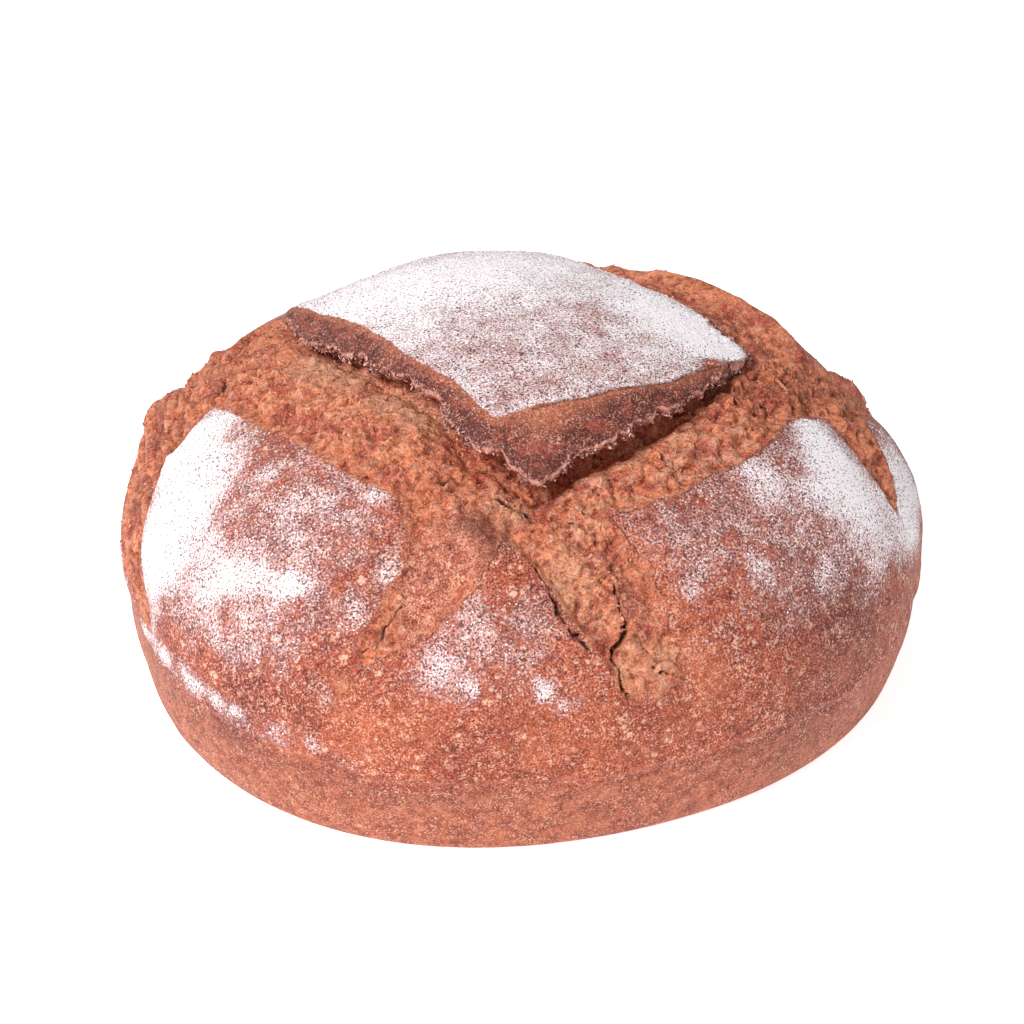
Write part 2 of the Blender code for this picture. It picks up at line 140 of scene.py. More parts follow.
# Plates of crust between the cuts: corners on the chart in mm, and how far the tear lies below the
# side that starts there
middleSides = {
    "frontLeft": ((-70, 33, 8), (-62, 12, 12), (-21, -38, 13), (-14, -54, 13)),
    "frontRight": ((8, -71, 15), (29, -54, 14), (43, -38, 13), (51, -29, 11), (56, -18, 9)),
    "backRight": ((65, -1, 6),),
    "backLeft": ((9, 82, 6), (-32, 70, 6)),
}
middleOutline = [corner for side in middleSides.values() for corner in side]
outerPlates = {
    "frontLeft": (
        (-93, -5, 1.4), (-47, -57, 1.4), (-31, -71, 1.8), (-33, -90, 2.0), (-54, -114, 1.0),
        (-90, -170, 1.0), (-175, -90, 1.0), (-129, -66, 1.6), (-126, -46, 1.8), (-117, -26, 1.8),
        (-111, -12, 1.6), (-105, -13, 1.6),
    ),
    "front": (
        (-2, -86, 1.2), (-10, -99, 1.4), (-24, -110, 1.0), (-52, -117, 0.5), (-88, -170, 0.5),
        (70, -170, 1.0), (41, -128, 3.0), (20, -110, 3.6), (5, -92, 3.0),
    ),
    "frontRight": (
        (31, -76, 1.0), (52, -63, 1.2), (62, -50, 1.4), (73, -36, 1.6), (82, -17, 2.4), (90, -11, 3.0),
        (118, -27, 1.0), (180, -40, 1.0), (120, -180, 1.0), (58, -118, 0.4), (46, -92, 0.6),
    ),
    "right": (
        (109, 4, 3.0), (118, -12, 1.8), (122, -28, 1.0), (190, -45, 1.0), (190, 60, 1.0), (120, 25, 3.0),
    ),
    "backRight": (
        (90, 33, 2.4), (125, 58, 1.0), (180, 100, 1.0), (90, 180, 1.0), (50, 128, 1.2), (38, 97, 1.2),
    ),
    "back": ((20, 114, 1.6), (58, 140, 1.0), (70, 200, 1.0), (-10, 200, 1.0), (8, 135, 1.4)),
    "backLeft": (
        (-91, 56, 1.6), (-48, 88, 1.6), (-8, 104, 1.6), (-8, 128, 1.0), (-20, 190, 1.0),
        (-170, 150, 1.0), (-118, 78, 1.6),
    ),
    "left": (
        (-104, 24, 2.2), (-122, 52, 1.4), (-190, 90, 1.0), (-190, -45, 1.0),
        (-138, -40, 1.6), (-124, -2, 2.2),
    ),
}
# The left plate's own crust starts further out than its step, behind a strip of torn dough
leftCrust = ((-124, 36), (-128, 60), (-190, 90), (-190, -50), (-152, -50), (-142, -8))
tearForm = {
    "curve": 1.8,  # above 1, the tear bellies up between its deepest line and the far plate
    "step": 3.4 * mm,
    "fade": (118 * mm, 146 * mm),  # chart radius over which the cuts die out
    "rollHeight": 6.0 * mm,
    "rollPlate": "backRight",
    "rollFrom": (6 * mm, 26 * mm),  # chart distances back over which the roll rises and dies out
    "rollTo": (42 * mm, 84 * mm),
    "edgeReach": (2 * mm, 12 * mm),  # how far out from the plates a shallow hollow follows their edges
    "edgeShare": 0.6,
    "ridge": ((-117, 27), 8 * mm, 3.6 * mm),  # the small ear on the left plate
    "notch": ((101, 17), 11 * mm, -3.6 * mm),  # the hollow where the right cut runs out
    "crest": ((-9, -84), 6 * mm, 1.6 * mm),  # the front plate's upturned tip
    "slump": ((-66, 58), 40 * mm, 3.4 * mm),
    "plateBulge": 1.6 * mm,
    "bulgeReach": 14 * mm,
    "edgeSway": (1.6 * mm, 13 * mm),
    "swell": (0.7 * mm, 34 * mm),
    "undercut": (6 * mm, -4 * mm),  # how far the hollow reaches in under the lip, in front and behind
    "rootDepth": 6 * mm,
}
seamForm = {
    "reach": 157 * mm,
    "sway": (3 * mm, -3 * mm),
    "width": 2.2 * mm,
    "depth": 1.0 * mm,
    "step": 0.8 * mm,
    "stepWidth": 4 * mm,
    "welt": (0.5 * mm, 3.5 * mm, 2 * mm),  # the low ridge above it: height, distance and width
}


def smoothStep(low, high, value):
    share = np.clip((value - low) / (high - low), 0.0, 1.0)
    return share * share * (3.0 - 2.0 * share)


def turnedProfile(form, steps=1500):
    domePower, domeRoot = form["crownPowers"]
    waist, foot, shoulder = form["waistHeight"], form["footRadius"], form["shoulderRound"]
    share = np.sin(np.linspace(0.0, np.pi / 2, steps))
    domeHeight = waist + (form["crownHeight"] - waist) * (1 - share**domePower) ** (1 / domeRoot)
    fall = 1 - (1 - np.linspace(0.0, 1.0, steps)) ** 1.5
    rounding = np.maximum(1 - fall ** form["footPower"], 0) ** (1 / form["footPower"])
    footRadius = foot + (form["meanRadius"] - foot) * rounding
    baseRadius = foot * (1 - np.linspace(0.0, 1.0, steps))
    radius = np.concatenate([form["meanRadius"] * share, footRadius[1:], baseRadius[1:]])
    height = np.concatenate([domeHeight, waist * (1 - fall[1:]), np.zeros(steps - 1)])
    walked = np.concatenate([[0.0], np.cumsum(np.hypot(np.diff(radius), np.diff(height)))])
    even = np.linspace(0.0, walked[-1], 2 * steps)
    radius, height = np.interp(even, walked, radius), np.interp(even, walked, height)
    nearWaist = np.exp(-(((even - walked[steps - 1]) / (2.5 * shoulder)) ** 2))
    reach = int(2.5 * shoulder / even[1])
    kernel = np.exp(-0.5 * (np.arange(-reach, reach + 1) * even[1] / shoulder) ** 2)
    kernel /= kernel.sum()
    radius += nearWaist * (np.convolve(np.pad(radius, reach, "edge"), kernel, "valid") - radius)
    height += nearWaist * (np.convolve(np.pad(height, reach, "edge"), kernel, "valid") - height)
    across, down = np.gradient(radius), np.gradient(height)
    length = np.hypot(across, down)
    out, up = -down / length, across / length
    walked = np.concatenate([[0.0], np.cumsum(np.hypot(np.diff(radius), np.diff(height)))])
    return {"walked": walked, "radius": radius, "height": height, "out": out, "up": up}


profile = turnedProfile(loafForm)
baseFrom = profile["walked"][-1] - loafForm["footRadius"]  # chart radius where the flat base starts


def planShare(turn):
    lobes = loafForm["planLobes"]
    return 1 + sum(c * np.cos(count * turn) + s * np.sin(count * turn) for count, c, s in lobes)


def polar(chart):
    return np.hypot(chart[:, 0], chart[:, 1]), np.arctan2(chart[:, 1], chart[:, 0])


def onLoaf(chart, lift):  # places of chart points, each lifted along the crust's normal
    reach, turn = polar(chart)
    walked = profile["walked"]
    out = np.interp(reach, walked, profile["radius"]) * planShare(turn)
    out = out + lift * np.interp(reach, walked, profile["out"])
    up = np.interp(reach, walked, profile["height"]) + lift * np.interp(reach, walked, profile["up"])
    return np.stack([out * np.cos(turn), out * np.sin(turn), up], axis=1)


def waves(points, size, seed):  # smooth noise of flat or solid points, between about -1 and 1
    if points.shape[1] == 2:
        return np.array([noise.noise(Vector((x / size, y / size, seed))) for x, y in points])
    return np.array([noise.noise(Vector((x / size + seed, y / size, z / size - seed))) for x, y, z in points])


def rough(points, form, seed):  # waves of a given height and size
    height, size = form
    return height * waves(points, size, seed)


def unit(vectors):
    return vectors / np.linalg.norm(vectors, axis=-1, keepdims=True)


def wander(chart):  # how the edges of the plates stray
    sway, size = tearForm["edgeSway"]
    return np.stack([waves(chart, size, 1.7), waves(chart, size, 8.3)], axis=1) * sway


def toOutline(chart, corners):  # signed distance, negative inside, and the tear's depth at the nearest sides
    points = np.array([corner[:2] for corner in corners]) * mm
    depths = [corner[2] * mm if len(corner) > 2 else 0.0 for corner in corners]
    nearest = np.full(len(chart), np.inf)
    inside = np.zeros(len(chart), bool)
    weight, weighted = np.zeros(len(chart)), np.zeros(len(chart))
    for start, end, depth in zip(points, np.roll(points, -1, axis=0), depths):
        side = end - start
        along = np.clip((chart - start) @ side / (side @ side), 0.0, 1.0)
        gap = np.linalg.norm(chart - start - along[:, None] * side, axis=1)
        nearest = np.minimum(nearest, gap)
        share = 1 / (gap + 1.5 * mm) ** 3
        weight, weighted = weight + share, weighted + share * depth
        spans = (start[1] > chart[:, 1]) != (end[1] > chart[:, 1])
        if side[1] != 0:
            inside ^= spans & (chart[:, 0] < start[0] + (chart[:, 1] - start[1]) * side[0] / side[1])
    return np.where(inside, -nearest, nearest), weighted / weight


def tearDepth(chart):  # how deep the torn dough lies, and the distances to the plates and to their crust
    middle, middleDepth = toOutline(chart, middleOutline)
    share = 1 / (np.maximum(middle, 0) + 0.5 * mm)
    weight, weighted = share, share * middleDepth
    outer = np.full(len(chart), np.inf)
    edge = toOutline(chart, leftCrust)[0]
    roll = np.zeros(len(chart))
    for name, corners in outerPlates.items():
        gap, depth = toOutline(chart, corners)
        outer = np.minimum(outer, gap)
        if name != "left":
            edge = np.minimum(edge, gap)
        share = 1 / (np.maximum(gap, 0) + 0.5 * mm)
        weight, weighted = weight + share, weighted + share * depth
        if name == tearForm["rollPlate"]:
            way = np.clip(middle / (np.abs(middle) + np.abs(gap) + mm), 0, 1)
            gone = smoothStep(*tearForm["rollTo"], chart[:, 1])
            ends = smoothStep(*tearForm["rollFrom"], chart[:, 1]) * (1 - gone)
            roll = np.sin(np.pi * way**1.2) ** 2 * smoothStep(0.22, 0.4, share / weight) * ends
    deepest = max(corner[2] for corner in middleOutline) * mm
    mean = weighted / weight
    depth = deepest * (mean / deepest) ** tearForm["curve"]
    depth += tearForm["edgeShare"] * mean * (1 - smoothStep(*tearForm["edgeReach"], outer))
    fade = 1 - smoothStep(*tearForm["fade"], polar(chart)[0])
    depth = (depth - tearForm["rollHeight"] * roll) * fade
    return {"depth": depth, "middle": middle, "outer": outer, "edge": edge, "roll": roll}


def seamReach(turn):
    sway = seamForm["sway"]
    return seamForm["reach"] + sway[0] * np.cos(turn) + sway[1] * np.sin(turn) + mm * np.sin(9 * turn)


def seamRelief(chart):
    reach, turn = polar(chart)
    seam = seamReach(turn)
    groove = -seamForm["depth"] * np.exp(-(((reach - seam) / seamForm["width"]) ** 2))
    height, above, wide = seamForm["welt"]
    welt = height * np.exp(-(((reach - seam + above) / wide) ** 2))
    return groove + welt - seamForm["step"] * smoothStep(seam, seam + seamForm["stepWidth"], reach)


def bump(chart, spot):  # a round rise or hollow: its middle in mm, its size and its height
    middle, size, height = spot
    away = np.linalg.norm(chart - np.array(middle) * mm, axis=1) / size
    return height * np.exp(-(away**2))


def swell(chart):
    return rough(chart, tearForm["swell"], 2.9) - bump(chart, tearForm["slump"])


def frontShare(chart):  # one along the middle plate's two front sides, and zero along its back
    return smoothStep(-20 * mm, 12 * mm, -chart[:, 1] + 0.35 * np.abs(chart[:, 0]))


def toPath(chart, path):  # distance to an open path of corners in mm, and how far along it that is
    corners = np.array(path) * mm
    nearest = np.full(len(chart), np.inf)
    along = np.zeros(len(chart))
    for index, (start, end) in enumerate(zip(corners, corners[1:])):
        side = end - start
        share = np.clip((chart - start) @ side / (side @ side), 0.0, 1.0)
        gap = np.linalg.norm(chart - start - share[:, None] * side, axis=1)
        along = np.where(gap < nearest, (index + share) / (len(corners) - 1), along)
        nearest = np.minimum(nearest, gap)
    return nearest, along


bodyPiece = {
    "name": "crustBody",
    "ballSteps": 7,
    "baseDensity": 0.6,  # share of faces on the base, against the same area of crust
    "tearCuts": (2, 1),  # extra cuts through each face of the torn dough, in front and behind
    "frontTo": (12 * mm, 124 * mm),  # front dough lies less far back, and within this chart radius
    "tearMargin": 1.5 * mm,
    "rootMargin": 8 * mm,
    "crackMargin": 1.8 * mm,
    "tearReach": 132 * mm,
    "crag": (1.5 * mm, 7.5 * mm),
    "clod": (1.5 * mm, 5.0 * mm),  # rounded clumps with creases between them
    "lump": (0.6 * mm, 3.4 * mm),
    "web": (0.5 * mm, 1.9 * mm),  # sharp little ridges of torn dough
    "grain": (0.22 * mm, 0.95 * mm),
    "fold": (1.6 * mm, 5.0 * mm, 34 * mm),  # folds that run round the left rim: height, width, length
    "foldRadius": 120 * mm,
    "pit": (1.3 * mm, 4.4 * mm, 0.38),  # depth, spacing, and the share of a cell that a pit takes
    "pebble": (0.10 * mm, 2.6 * mm),
    "dimple": (0.28 * mm, 9.0 * mm),
    "blister": ((51, -116), 4.2 * mm, 2.0 * mm),
    "crackSway": (0.9 * mm, 2.1 * mm),
    "cragFrom": 5 * mm,  # how far from the plates the crags reach their height
    "detailFrom": (0.3 * mm, 3.5 * mm),  # where the small relief starts and is whole
    "rimFrom": (86 * mm, 96 * mm),  # chart radius where the left folds start
    "hollowEnd": 9 * mm,  # how far past the undercut the hollow under the lip fades
    "footFade": 12 * mm,  # how far before the flat base all relief fades
    "fade": (118 * mm, 146 * mm),
    "leftFade": 14 * mm,  # how much further out the torn dough fades on the left
    "flourFloor": 0.10,  # what the plates have everywhere
    "flourFade": (126 * mm, 150 * mm),
    "ring": (7 * mm, 4 * mm),  # thin flour above the seam on the front left: distance and width
    "ringStray": (2.5 * mm, 16 * mm),
    "ringAmount": (0.52, 0.6, 7 * mm),  # the mean, and the height and size of its patches
    "singed": (0.45, 3.5 * mm, 4 * mm),  # dark under the seam on the left: amount, distance and width
}

# Splits in the torn dough: corners in mm, width and depth
cracks = {
    "frontLip": (
        ((6, -93), (9, -96), (12, -101), (14, -104), (15, -107), (19, -111), (22, -114), (26, -116)),
        0.7, 2.6,
    ),
    "frontSplit": (
        ((33, -97), (34, -100), (35, -103), (36, -105), (38, -108), (37, -112), (35, -115), (34, -118),
         (36, -120), (37, -122), (38, -126), (41, -128)),
        0.8, 3.2,
    ),
    "leftSplit": (
        ((-34, -101), (-36, -103), (-38, -105), (-40, -106), (-40, -108), (-42, -109), (-45, -109),
         (-47, -111)),
        0.5, 1.6,
    ),
    "crossing": (((-12, -69), (-7, -71), (-3, -73), (2, -75), (6, -77)), 0.6, 1.4),
    "leftRim": (((-85, 24), (-89, 15), (-92, 3), (-94, -2)), 1.2, 2.2),
    "leftSide": (((-98, 5), (-106, -4), (-115, -9), (-121, -22), (-127, -38), (-131, -52)), 1.0, 1.6),
    "thinLine": (((14, -77), (17, -78.5), (20, -79.5), (23, -81)), 0.3, 0.5),
    "blisterSplit": (((48, -117.5), (51, -118.4), (54, -118)), 0.7, 1.4),
}
# Small open pores: place in mm, size and depth
pores = (
    (26, -88, 0.9, 1.6), (29, -96, 0.8, 1.4), (34, -95, 0.8, 1.4), (21.5, -112.5, 1.5, 3.0),
    (37.4, -108.6, 1.5, 3.0), (-26, -102, 0.8, 1.4), (-27.5, -104, 0.7, 1.2), (-32, -35, 1.1, 1.8),
    (-29.5, -37, 1.4, 2.4), (-45, -62, 1.2, 1.8), (-20, -64, 2.2, 3.2), (-17.5, -67, 1.6, 2.6),
    (-9, -57, 2.4, 3.4), (-9, -64, 1.3, 2.4), (0, -59, 2.4, 3.2), (-14, -42, 1.6, 2.6),
    (-2, -66, 1.4, 2.4), (-16, -50, 1.5, 2.0), (7, -79, 1.3, 2.0), (49, -25, 2.0, 3.0),
    (54, -15, 2.8, 4.2), (58, -20, 2.3, 3.4), (61.5, -14, 2.7, 4.2), (65, -19, 2.2, 3.2),
    (68, -11.5, 2.8, 4.4), (72.5, -16, 2.3, 3.4), (76, -8, 3.0, 4.4), (81, -11.5, 2.2, 3.2),
    (86, -4, 2.8, 4.2), (70, -21, 1.6, 2.4), (60, -26, 1.6, 2.4), (79, 0, 2.8, 4.0), (85, 4, 2.4, 3.6),
    (92, 5, 2.4, 3.4), (71, -4, 2.4, 4.0), (42, -51, 1.4, 2.2), (33, -62, 1.3, 2.2), (26, -67, 1.2, 2.0),
    (19, -66, 1.5, 2.4),
)

# Where flour lies on the outer plates: place, size and amount, added up
flourSpots = (
    (-90, -17, 10, 0.55), (-97, -29, 13, 0.5), (-105, -44, 13, 0.5), (-112, -58, 10, 0.5),
    (-94, -46, 11, 0.4), (-98, -12, 6, 0.5), (-108, -24, 8, 0.6), (-117, -40, 9, 0.7),
    (-122, -54, 8, 0.7), (-124, -66, 7, 0.6), (-82, -36, 9, 0.28), (-96, -62, 9, 0.35),
    (-87, -74, 6, 0.45), (-77, -79, 5, 0.4), (-67, -86, 5, 0.45), (-61, -87, 4, 0.3),
    (-62, -66, 24, 0.27), (-98, -80, 15, 0.34), (-78, -98, 14, 0.22), (-38, -66, 3.5, 0.35),
    (-42, -58, 5, 0.15), (-70, -48, 4, 0.2), (-52, -52, 3, 0.2), (-36, -92, 4, 0.3), (-48, -100, 5, 0.2),
    (86, -20, 6, 0.6), (91, -26, 9, 0.6), (100, -32, 11, 0.6), (110, -42, 12, 0.5), (90, -42, 12, 0.35),
    (70, -46, 6, 0.3), (76, -52, 6, 0.3), (75, -62, 28, 0.20), (50, -74, 12, 0.14), (76, -78, 4, 0.3),
    (59, -86, 3, 0.3), (57, -92, 3.5, 0.3), (98, -68, 4, 0.25), (96, -73, 3, 0.2), (114, -58, 11, 0.22),
    (-20, -122, 8, 0.3), (-26, -118, 6, 0.25), (-13, -127, 4, 0.25), (-12, -108, 10, 0.16),
    (10, -130, 2.6, 0.6), (13, -128, 2.2, 0.4), (18, -133, 2.4, 0.4), (9, -126, 2.0, 0.4),
    (2, -114, 14, 0.14), (-3, -92, 6, -0.5), (24, -131, 2.0, 0.3), (-60, -122, 4, 0.3),
    (-133, -68, 6, 0.4), (-110, -14, 6, 0.7), (125, -8, 15, 0.85), (130, -30, 12, 0.75),
    (118, 45, 16, 0.6), (100, 95, 30, 0.4), (-120, 60, 24, 0.35), (-60, 118, 40, 0.55),
    (30, 150, 26, 0.3),
)
# Where the torn dough is smooth and pale
paleSpots = (
    (-58, -3, 8, 0.9), (-48, -12, 8, 0.9), (-34, -27, 8, 1.0), (-25, -37, 7, 1.0), (2, -76, 4.5, 0.9),
    (-5, -72, 4, 0.7), (14, -98, 6, 0.6), (18, -104, 5, 0.6), (51, -115, 4.5, 0.9), (20, -92, 7, 0.4),
    (38, -121, 4, 0.7), (40, -114, 3, 0.5), (-62, 6, 5, 0.4), (30, -108, 4, 0.4),
)
# Where the crust has stretched without tearing, and where it has baked dark
stretchedSpots = ((-24, -94, 13, 1.4), (-16, -88, 9, 0.6), (44, -98, 8, 0.8), (-30, -108, 7, 0.6))
toastSpots = (
    (-10, -81, 6, 0.8), (-4, -88, 5, 0.8), (-15, -79, 4, 0.5), (103, -80, 12, 0.55), (112, -69, 9, 0.5),
    (126, -76, 12, 0.65), (88, -92, 9, 0.35), (118, -104, 20, 0.5), (92, -122, 22, 0.2),
    (-52, -66, 7, 0.3), (-40, -82, 6, 0.2), (-88, -112, 9, 0.5), (-71, -122, 9, 0.4),
    (-104, -116, 9, 0.5), (-12, -148, 12, 0.25), (-27, -92, 6, 0.3),
)
goldenSpots = (
    (-52, -135, 13, 0.7), (-30, -134, 12, 0.6), (10, -142, 13, 0.7), (62, -112, 9, 0.95),
    (72, -118, 9, 0.6), (66, -137, 14, 0.4), (-44, -108, 8, 0.6), (36, -140, 10, 0.4), (42, -88, 7, 0.5),
    (-16, -101, 6, 0.5), (-80, -134, 8, 0.3), (50, -100, 7, 0.7), (-58, -120, 7, 0.6),
)
# Painted shade on the torn dough where it lies in deep shade; spots with an amount below zero paint light
# instead
shadeAndLightSpots = (
    (58, -16, 7, 0.7), (68, -14, 8, 0.8), (78, -8, 9, 0.8), (88, 0, 9, 0.6), (-82, 26, 6, 0.5),
    (-92, 2, 5, 0.5), (-10, -62, 8, 0.5), (-20, -66, 5, 0.4), (60, 20, 7, 0.7), (54, 30, 8, 0.5),
    (66, 9, 6, 0.5), (2, -62, 6, 0.5), (34, -62, 13, -0.9), (50, -48, 12, -1.1), (64, -36, 10, -0.6),
    (24, -76, 10, -0.4), (-52, -36, 16, -0.25), (-20, -74, 9, -0.3), (20, -92, 8, -0.3),
)


def chartOf(points):  # chart places of points on the unit ball, spread by area over the loaf
    walked, radius = profile["walked"], profile["radius"]
    density = np.where(walked < baseFrom, 1.0, bodyPiece["baseDensity"])
    rings = np.concatenate([[0.0], np.cumsum(np.diff(walked) * (radius[1:] + radius[:-1]) * density[1:])])
    reach = np.interp((1 - points[:, 2]) / 2, rings / rings[-1], walked)
    turn = np.arctan2(points[:, 1], points[:, 0])
    return np.stack([reach * np.cos(turn), reach * np.sin(turn)], axis=1)


def vertexPlaces(target):
    places = np.empty(len(target.data.vertices) * 3, np.float32)
    target.data.vertices.foreach_get("co", places)
    return places.reshape(-1, 3).astype(float)


def faceCentres(target):
    centres = np.empty(len(target.data.polygons) * 3, np.float32)
    target.data.polygons.foreach_get("center", centres)
    return centres.reshape(-1, 3).astype(float)


def faceAreas(target):
    areas = np.empty(len(target.data.polygons), np.float32)
    target.data.polygons.foreach_get("area", areas)
    return areas


def setPlaces(target, places):
    target.data.vertices.foreach_set("co", places.astype(np.float32).ravel())
    target.data.update()


def paint(target, name, values):  # a number on each vertex, for the materials
    layer = target.data.attributes.new(name, "FLOAT", "POINT")
    layer.data.foreach_set("value", np.asarray(values, np.float32))


def cutFaces(target, chosen, cuts):
    bpy.ops.object.select_all(action="DESELECT")
    target.select_set(True)
    bpy.context.view_layer.objects.active = target
    bpy.context.tool_settings.mesh_select_mode = (False, False, True)
    mesh = target.data
    for part in (mesh.vertices, mesh.edges):
        part.foreach_set("select", np.zeros(len(part), bool))
    mesh.polygons.foreach_set("select", chosen)
    bpy.ops.object.mode_set(mode="EDIT")
    bpy.ops.mesh.subdivide(number_cuts=cuts, ngon=False)
    bpy.ops.mesh.select_all(action="SELECT")
    bpy.ops.mesh.quads_convert_to_tris()
    bpy.ops.mesh.select_all(action="DESELECT")
    bpy.ops.object.mode_set(mode="OBJECT")


def crackShare(chart):  # how deep into a crack or pore each point lies, and the drop there
    share, drop = np.zeros(len(chart)), np.zeros(len(chart))
    sway, spacing = bodyPiece["crackSway"]
    ragged = chart + sway * np.stack([waves(chart, spacing, 4.4), waves(chart, spacing, 6.6)], axis=1)
    for path, width, depth in cracks.values():
        gap, along = toPath(ragged, path)
        wide = width * mm * (0.45 + 0.5 * np.sin(np.pi * along)) * (1 + 0.7 * np.sin(13 * along + 1.3))
        inside = smoothStep(wide, 0.25 * wide, gap)
        share, drop = np.maximum(share, inside), np.maximum(drop, inside * depth * mm)
    for x, y, size, depth in pores:
        gap = np.linalg.norm((ragged - np.array((x, y)) * mm) * (1.0, 1.25), axis=1)
        inside = smoothStep(size * mm, 0.35 * size * mm, gap)
        share, drop = np.maximum(share, inside), np.maximum(drop, inside * depth * mm)
    return share, drop


def spotSum(chart, spots):
    total = np.zeros(len(chart))
    for x, y, size, amount in spots:
        total += bump(chart, ((x, y), size * mm, amount))
    return total


def tornDetail(solid):  # the small relief of torn dough, and its share between hollow and peak
    web, clod = bodyPiece["web"], bodyPiece["clod"]
    depth, spacing, width = bodyPiece["pit"]
    ridges = 1 - 2.6 * np.abs(waves(solid, web[1], 7.7))
    swollen = np.abs(waves(solid, clod[1], 6.3))
    lift = rough(solid, bodyPiece["lump"], 3.1) + web[0] * ridges + rough(solid, bodyPiece["grain"], 5.2)
    lift += clod[0] * (2.4 * swollen - 0.5)
    pits = np.zeros(len(solid))
    for index, (x, y, z) in enumerate(solid / spacing):
        distances, points = noise.voronoi(Vector((x, y, z)))
        isPit = noise.noise(points[0] * 5.3) > 0.12
        pits[index] = distances[0] if isPit else 1.0
    pits = smoothStep(width, 0.1, pits)
    return lift - depth * pits, ridges - 1.2 * pits - smoothStep(0.12, 0.0, swollen)


def rimFolds(chart):
    reach, turn = polar(chart)
    height, width, length = bodyPiece["fold"]
    strip = np.stack([reach / width, turn * bodyPiece["foldRadius"] / length], axis=1)
    swollen = np.abs(waves(strip, 1.0, 5.9))
    return height * (3.0 * swollen - 0.6), smoothStep(0.16, 0.0, swollen)


def bodyRelief(chart):
    settings = bodyPiece
    reach, turn = polar(chart)
    solid = onLoaf(chart, 0)
    tear = tearDepth(chart + wander(chart) + 0.35 * wander(chart * 4.1))
    depth, middle, outer, edge, roll = tear.values()
    plate = tearForm["plateBulge"] * (1 - np.exp(np.minimum(outer, 0) / tearForm["bulgeReach"]))
    torn = smoothStep(0, tearForm["step"], outer)
    fade = 1 - smoothStep(*settings["fade"], reach)
    leftward = smoothStep(0.6, 0.95, -np.cos(turn))  # on the left, the dough is torn further down
    bare = 1 - smoothStep(*settings["fade"], reach - settings["leftFade"] * leftward)
    lift = plate * (1 - torn) - depth * torn
    rising = smoothStep(0, settings["cragFrom"], outer) * fade
    lift += rough(chart, settings["crag"], 4.1) * rising * (1 - 0.5 * roll)
    front, back = tearForm["undercut"]
    undercut = back + (front - back) * frontShare(chart)
    under = smoothStep(-undercut - settings["hollowEnd"], -undercut, middle)
    lift = np.where(middle < 0, -tearForm["rootDepth"] * (1 - under) + lift * under, lift)
    smoothRoll = 1 - 0.86 * smoothStep(0.12, 0.5, roll)
    detail, peak = tornDetail(solid)
    stretched = np.clip(spotSum(chart, stretchedSpots), 0, 1)
    onRim = leftward * smoothStep(*settings["rimFrom"], reach)
    pale = np.clip(spotSum(chart, paleSpots), 0, 1)
    calm = (1 - 0.8 * stretched) * (1 - 0.6 * pale) * (1 - 0.5 * smoothStep(0, 40 * mm, chart[:, 1]))
    fold, valley = rimFolds(chart)
    detail = detail * (1 - 0.85 * onRim) * smoothRoll * calm + fold * onRim
    lift += detail * smoothStep(*settings["detailFrom"], edge) * bare
    crust = 1 - smoothStep(0, tearForm["step"], edge) * fade
    lift += crust * (rough(solid, settings["pebble"], 9.4) + rough(solid, settings["dimple"], 2.2))
    crack, drop = crackShare(chart)
    spots = (tearForm["ridge"], tearForm["notch"], tearForm["crest"], settings["blister"])
    lift += sum(bump(chart, spot) for spot in spots)
    lift += seamRelief(chart) + swell(chart) - drop
    lift *= 1 - smoothStep(baseFrom - settings["footFade"], baseFrom, reach)
    seam = seamReach(turn)
    gone = smoothStep(*settings["flourFade"], reach)
    flour = (settings["flourFloor"] + spotSum(chart, flourSpots)) * (1 - 0.85 * gone)
    above, width = settings["ring"]
    above = above + rough(chart, settings["ringStray"], 8.8)
    ring = np.exp(-(((reach - seam + above) / width) ** 2)) * smoothStep(0.2, 0.8, -np.cos(turn))
    mean, *patches = settings["ringAmount"]
    ring *= (mean + rough(chart, patches, 3.6)) * smoothStep(-0.35, 0.15, -np.sin(turn))
    amount, below, width = settings["singed"]
    singed = amount * np.exp(-(((reach - seam - below) / width) ** 2)) * smoothStep(-0.5, 0.6, -np.cos(turn))
    masks = {
        "edge": np.clip(edge / mm, -30, 30),
        "fade": bare,
        "flour": flour + ring,
        "pale": pale,
        "stretched": stretched,
        "toast": np.clip(spotSum(chart, toastSpots) + singed, 0, 1),
        "golden": np.clip(spotSum(chart, goldenSpots), 0, 1),
        "crack": crack,
        # the peak mask paints shade into hollows, pits, the left rim's fold valleys and the shade spots, and
        # light onto raised parts
        "peak": peak - spotSum(chart, shadeAndLightSpots) - 1.5 * valley * onRim,
        "roll": roll,
        "wall": smoothStep(seam - mm, seam + 4 * mm, reach),
    }
    return lift, masks


def inTornDough(chart):
    tear = tearDepth(chart + wander(chart))
    inTear = (tear["edge"] > -bodyPiece["tearMargin"]) & (tear["middle"] > -bodyPiece["rootMargin"])
    return inTear & (polar(chart)[0] < bodyPiece["tearReach"])


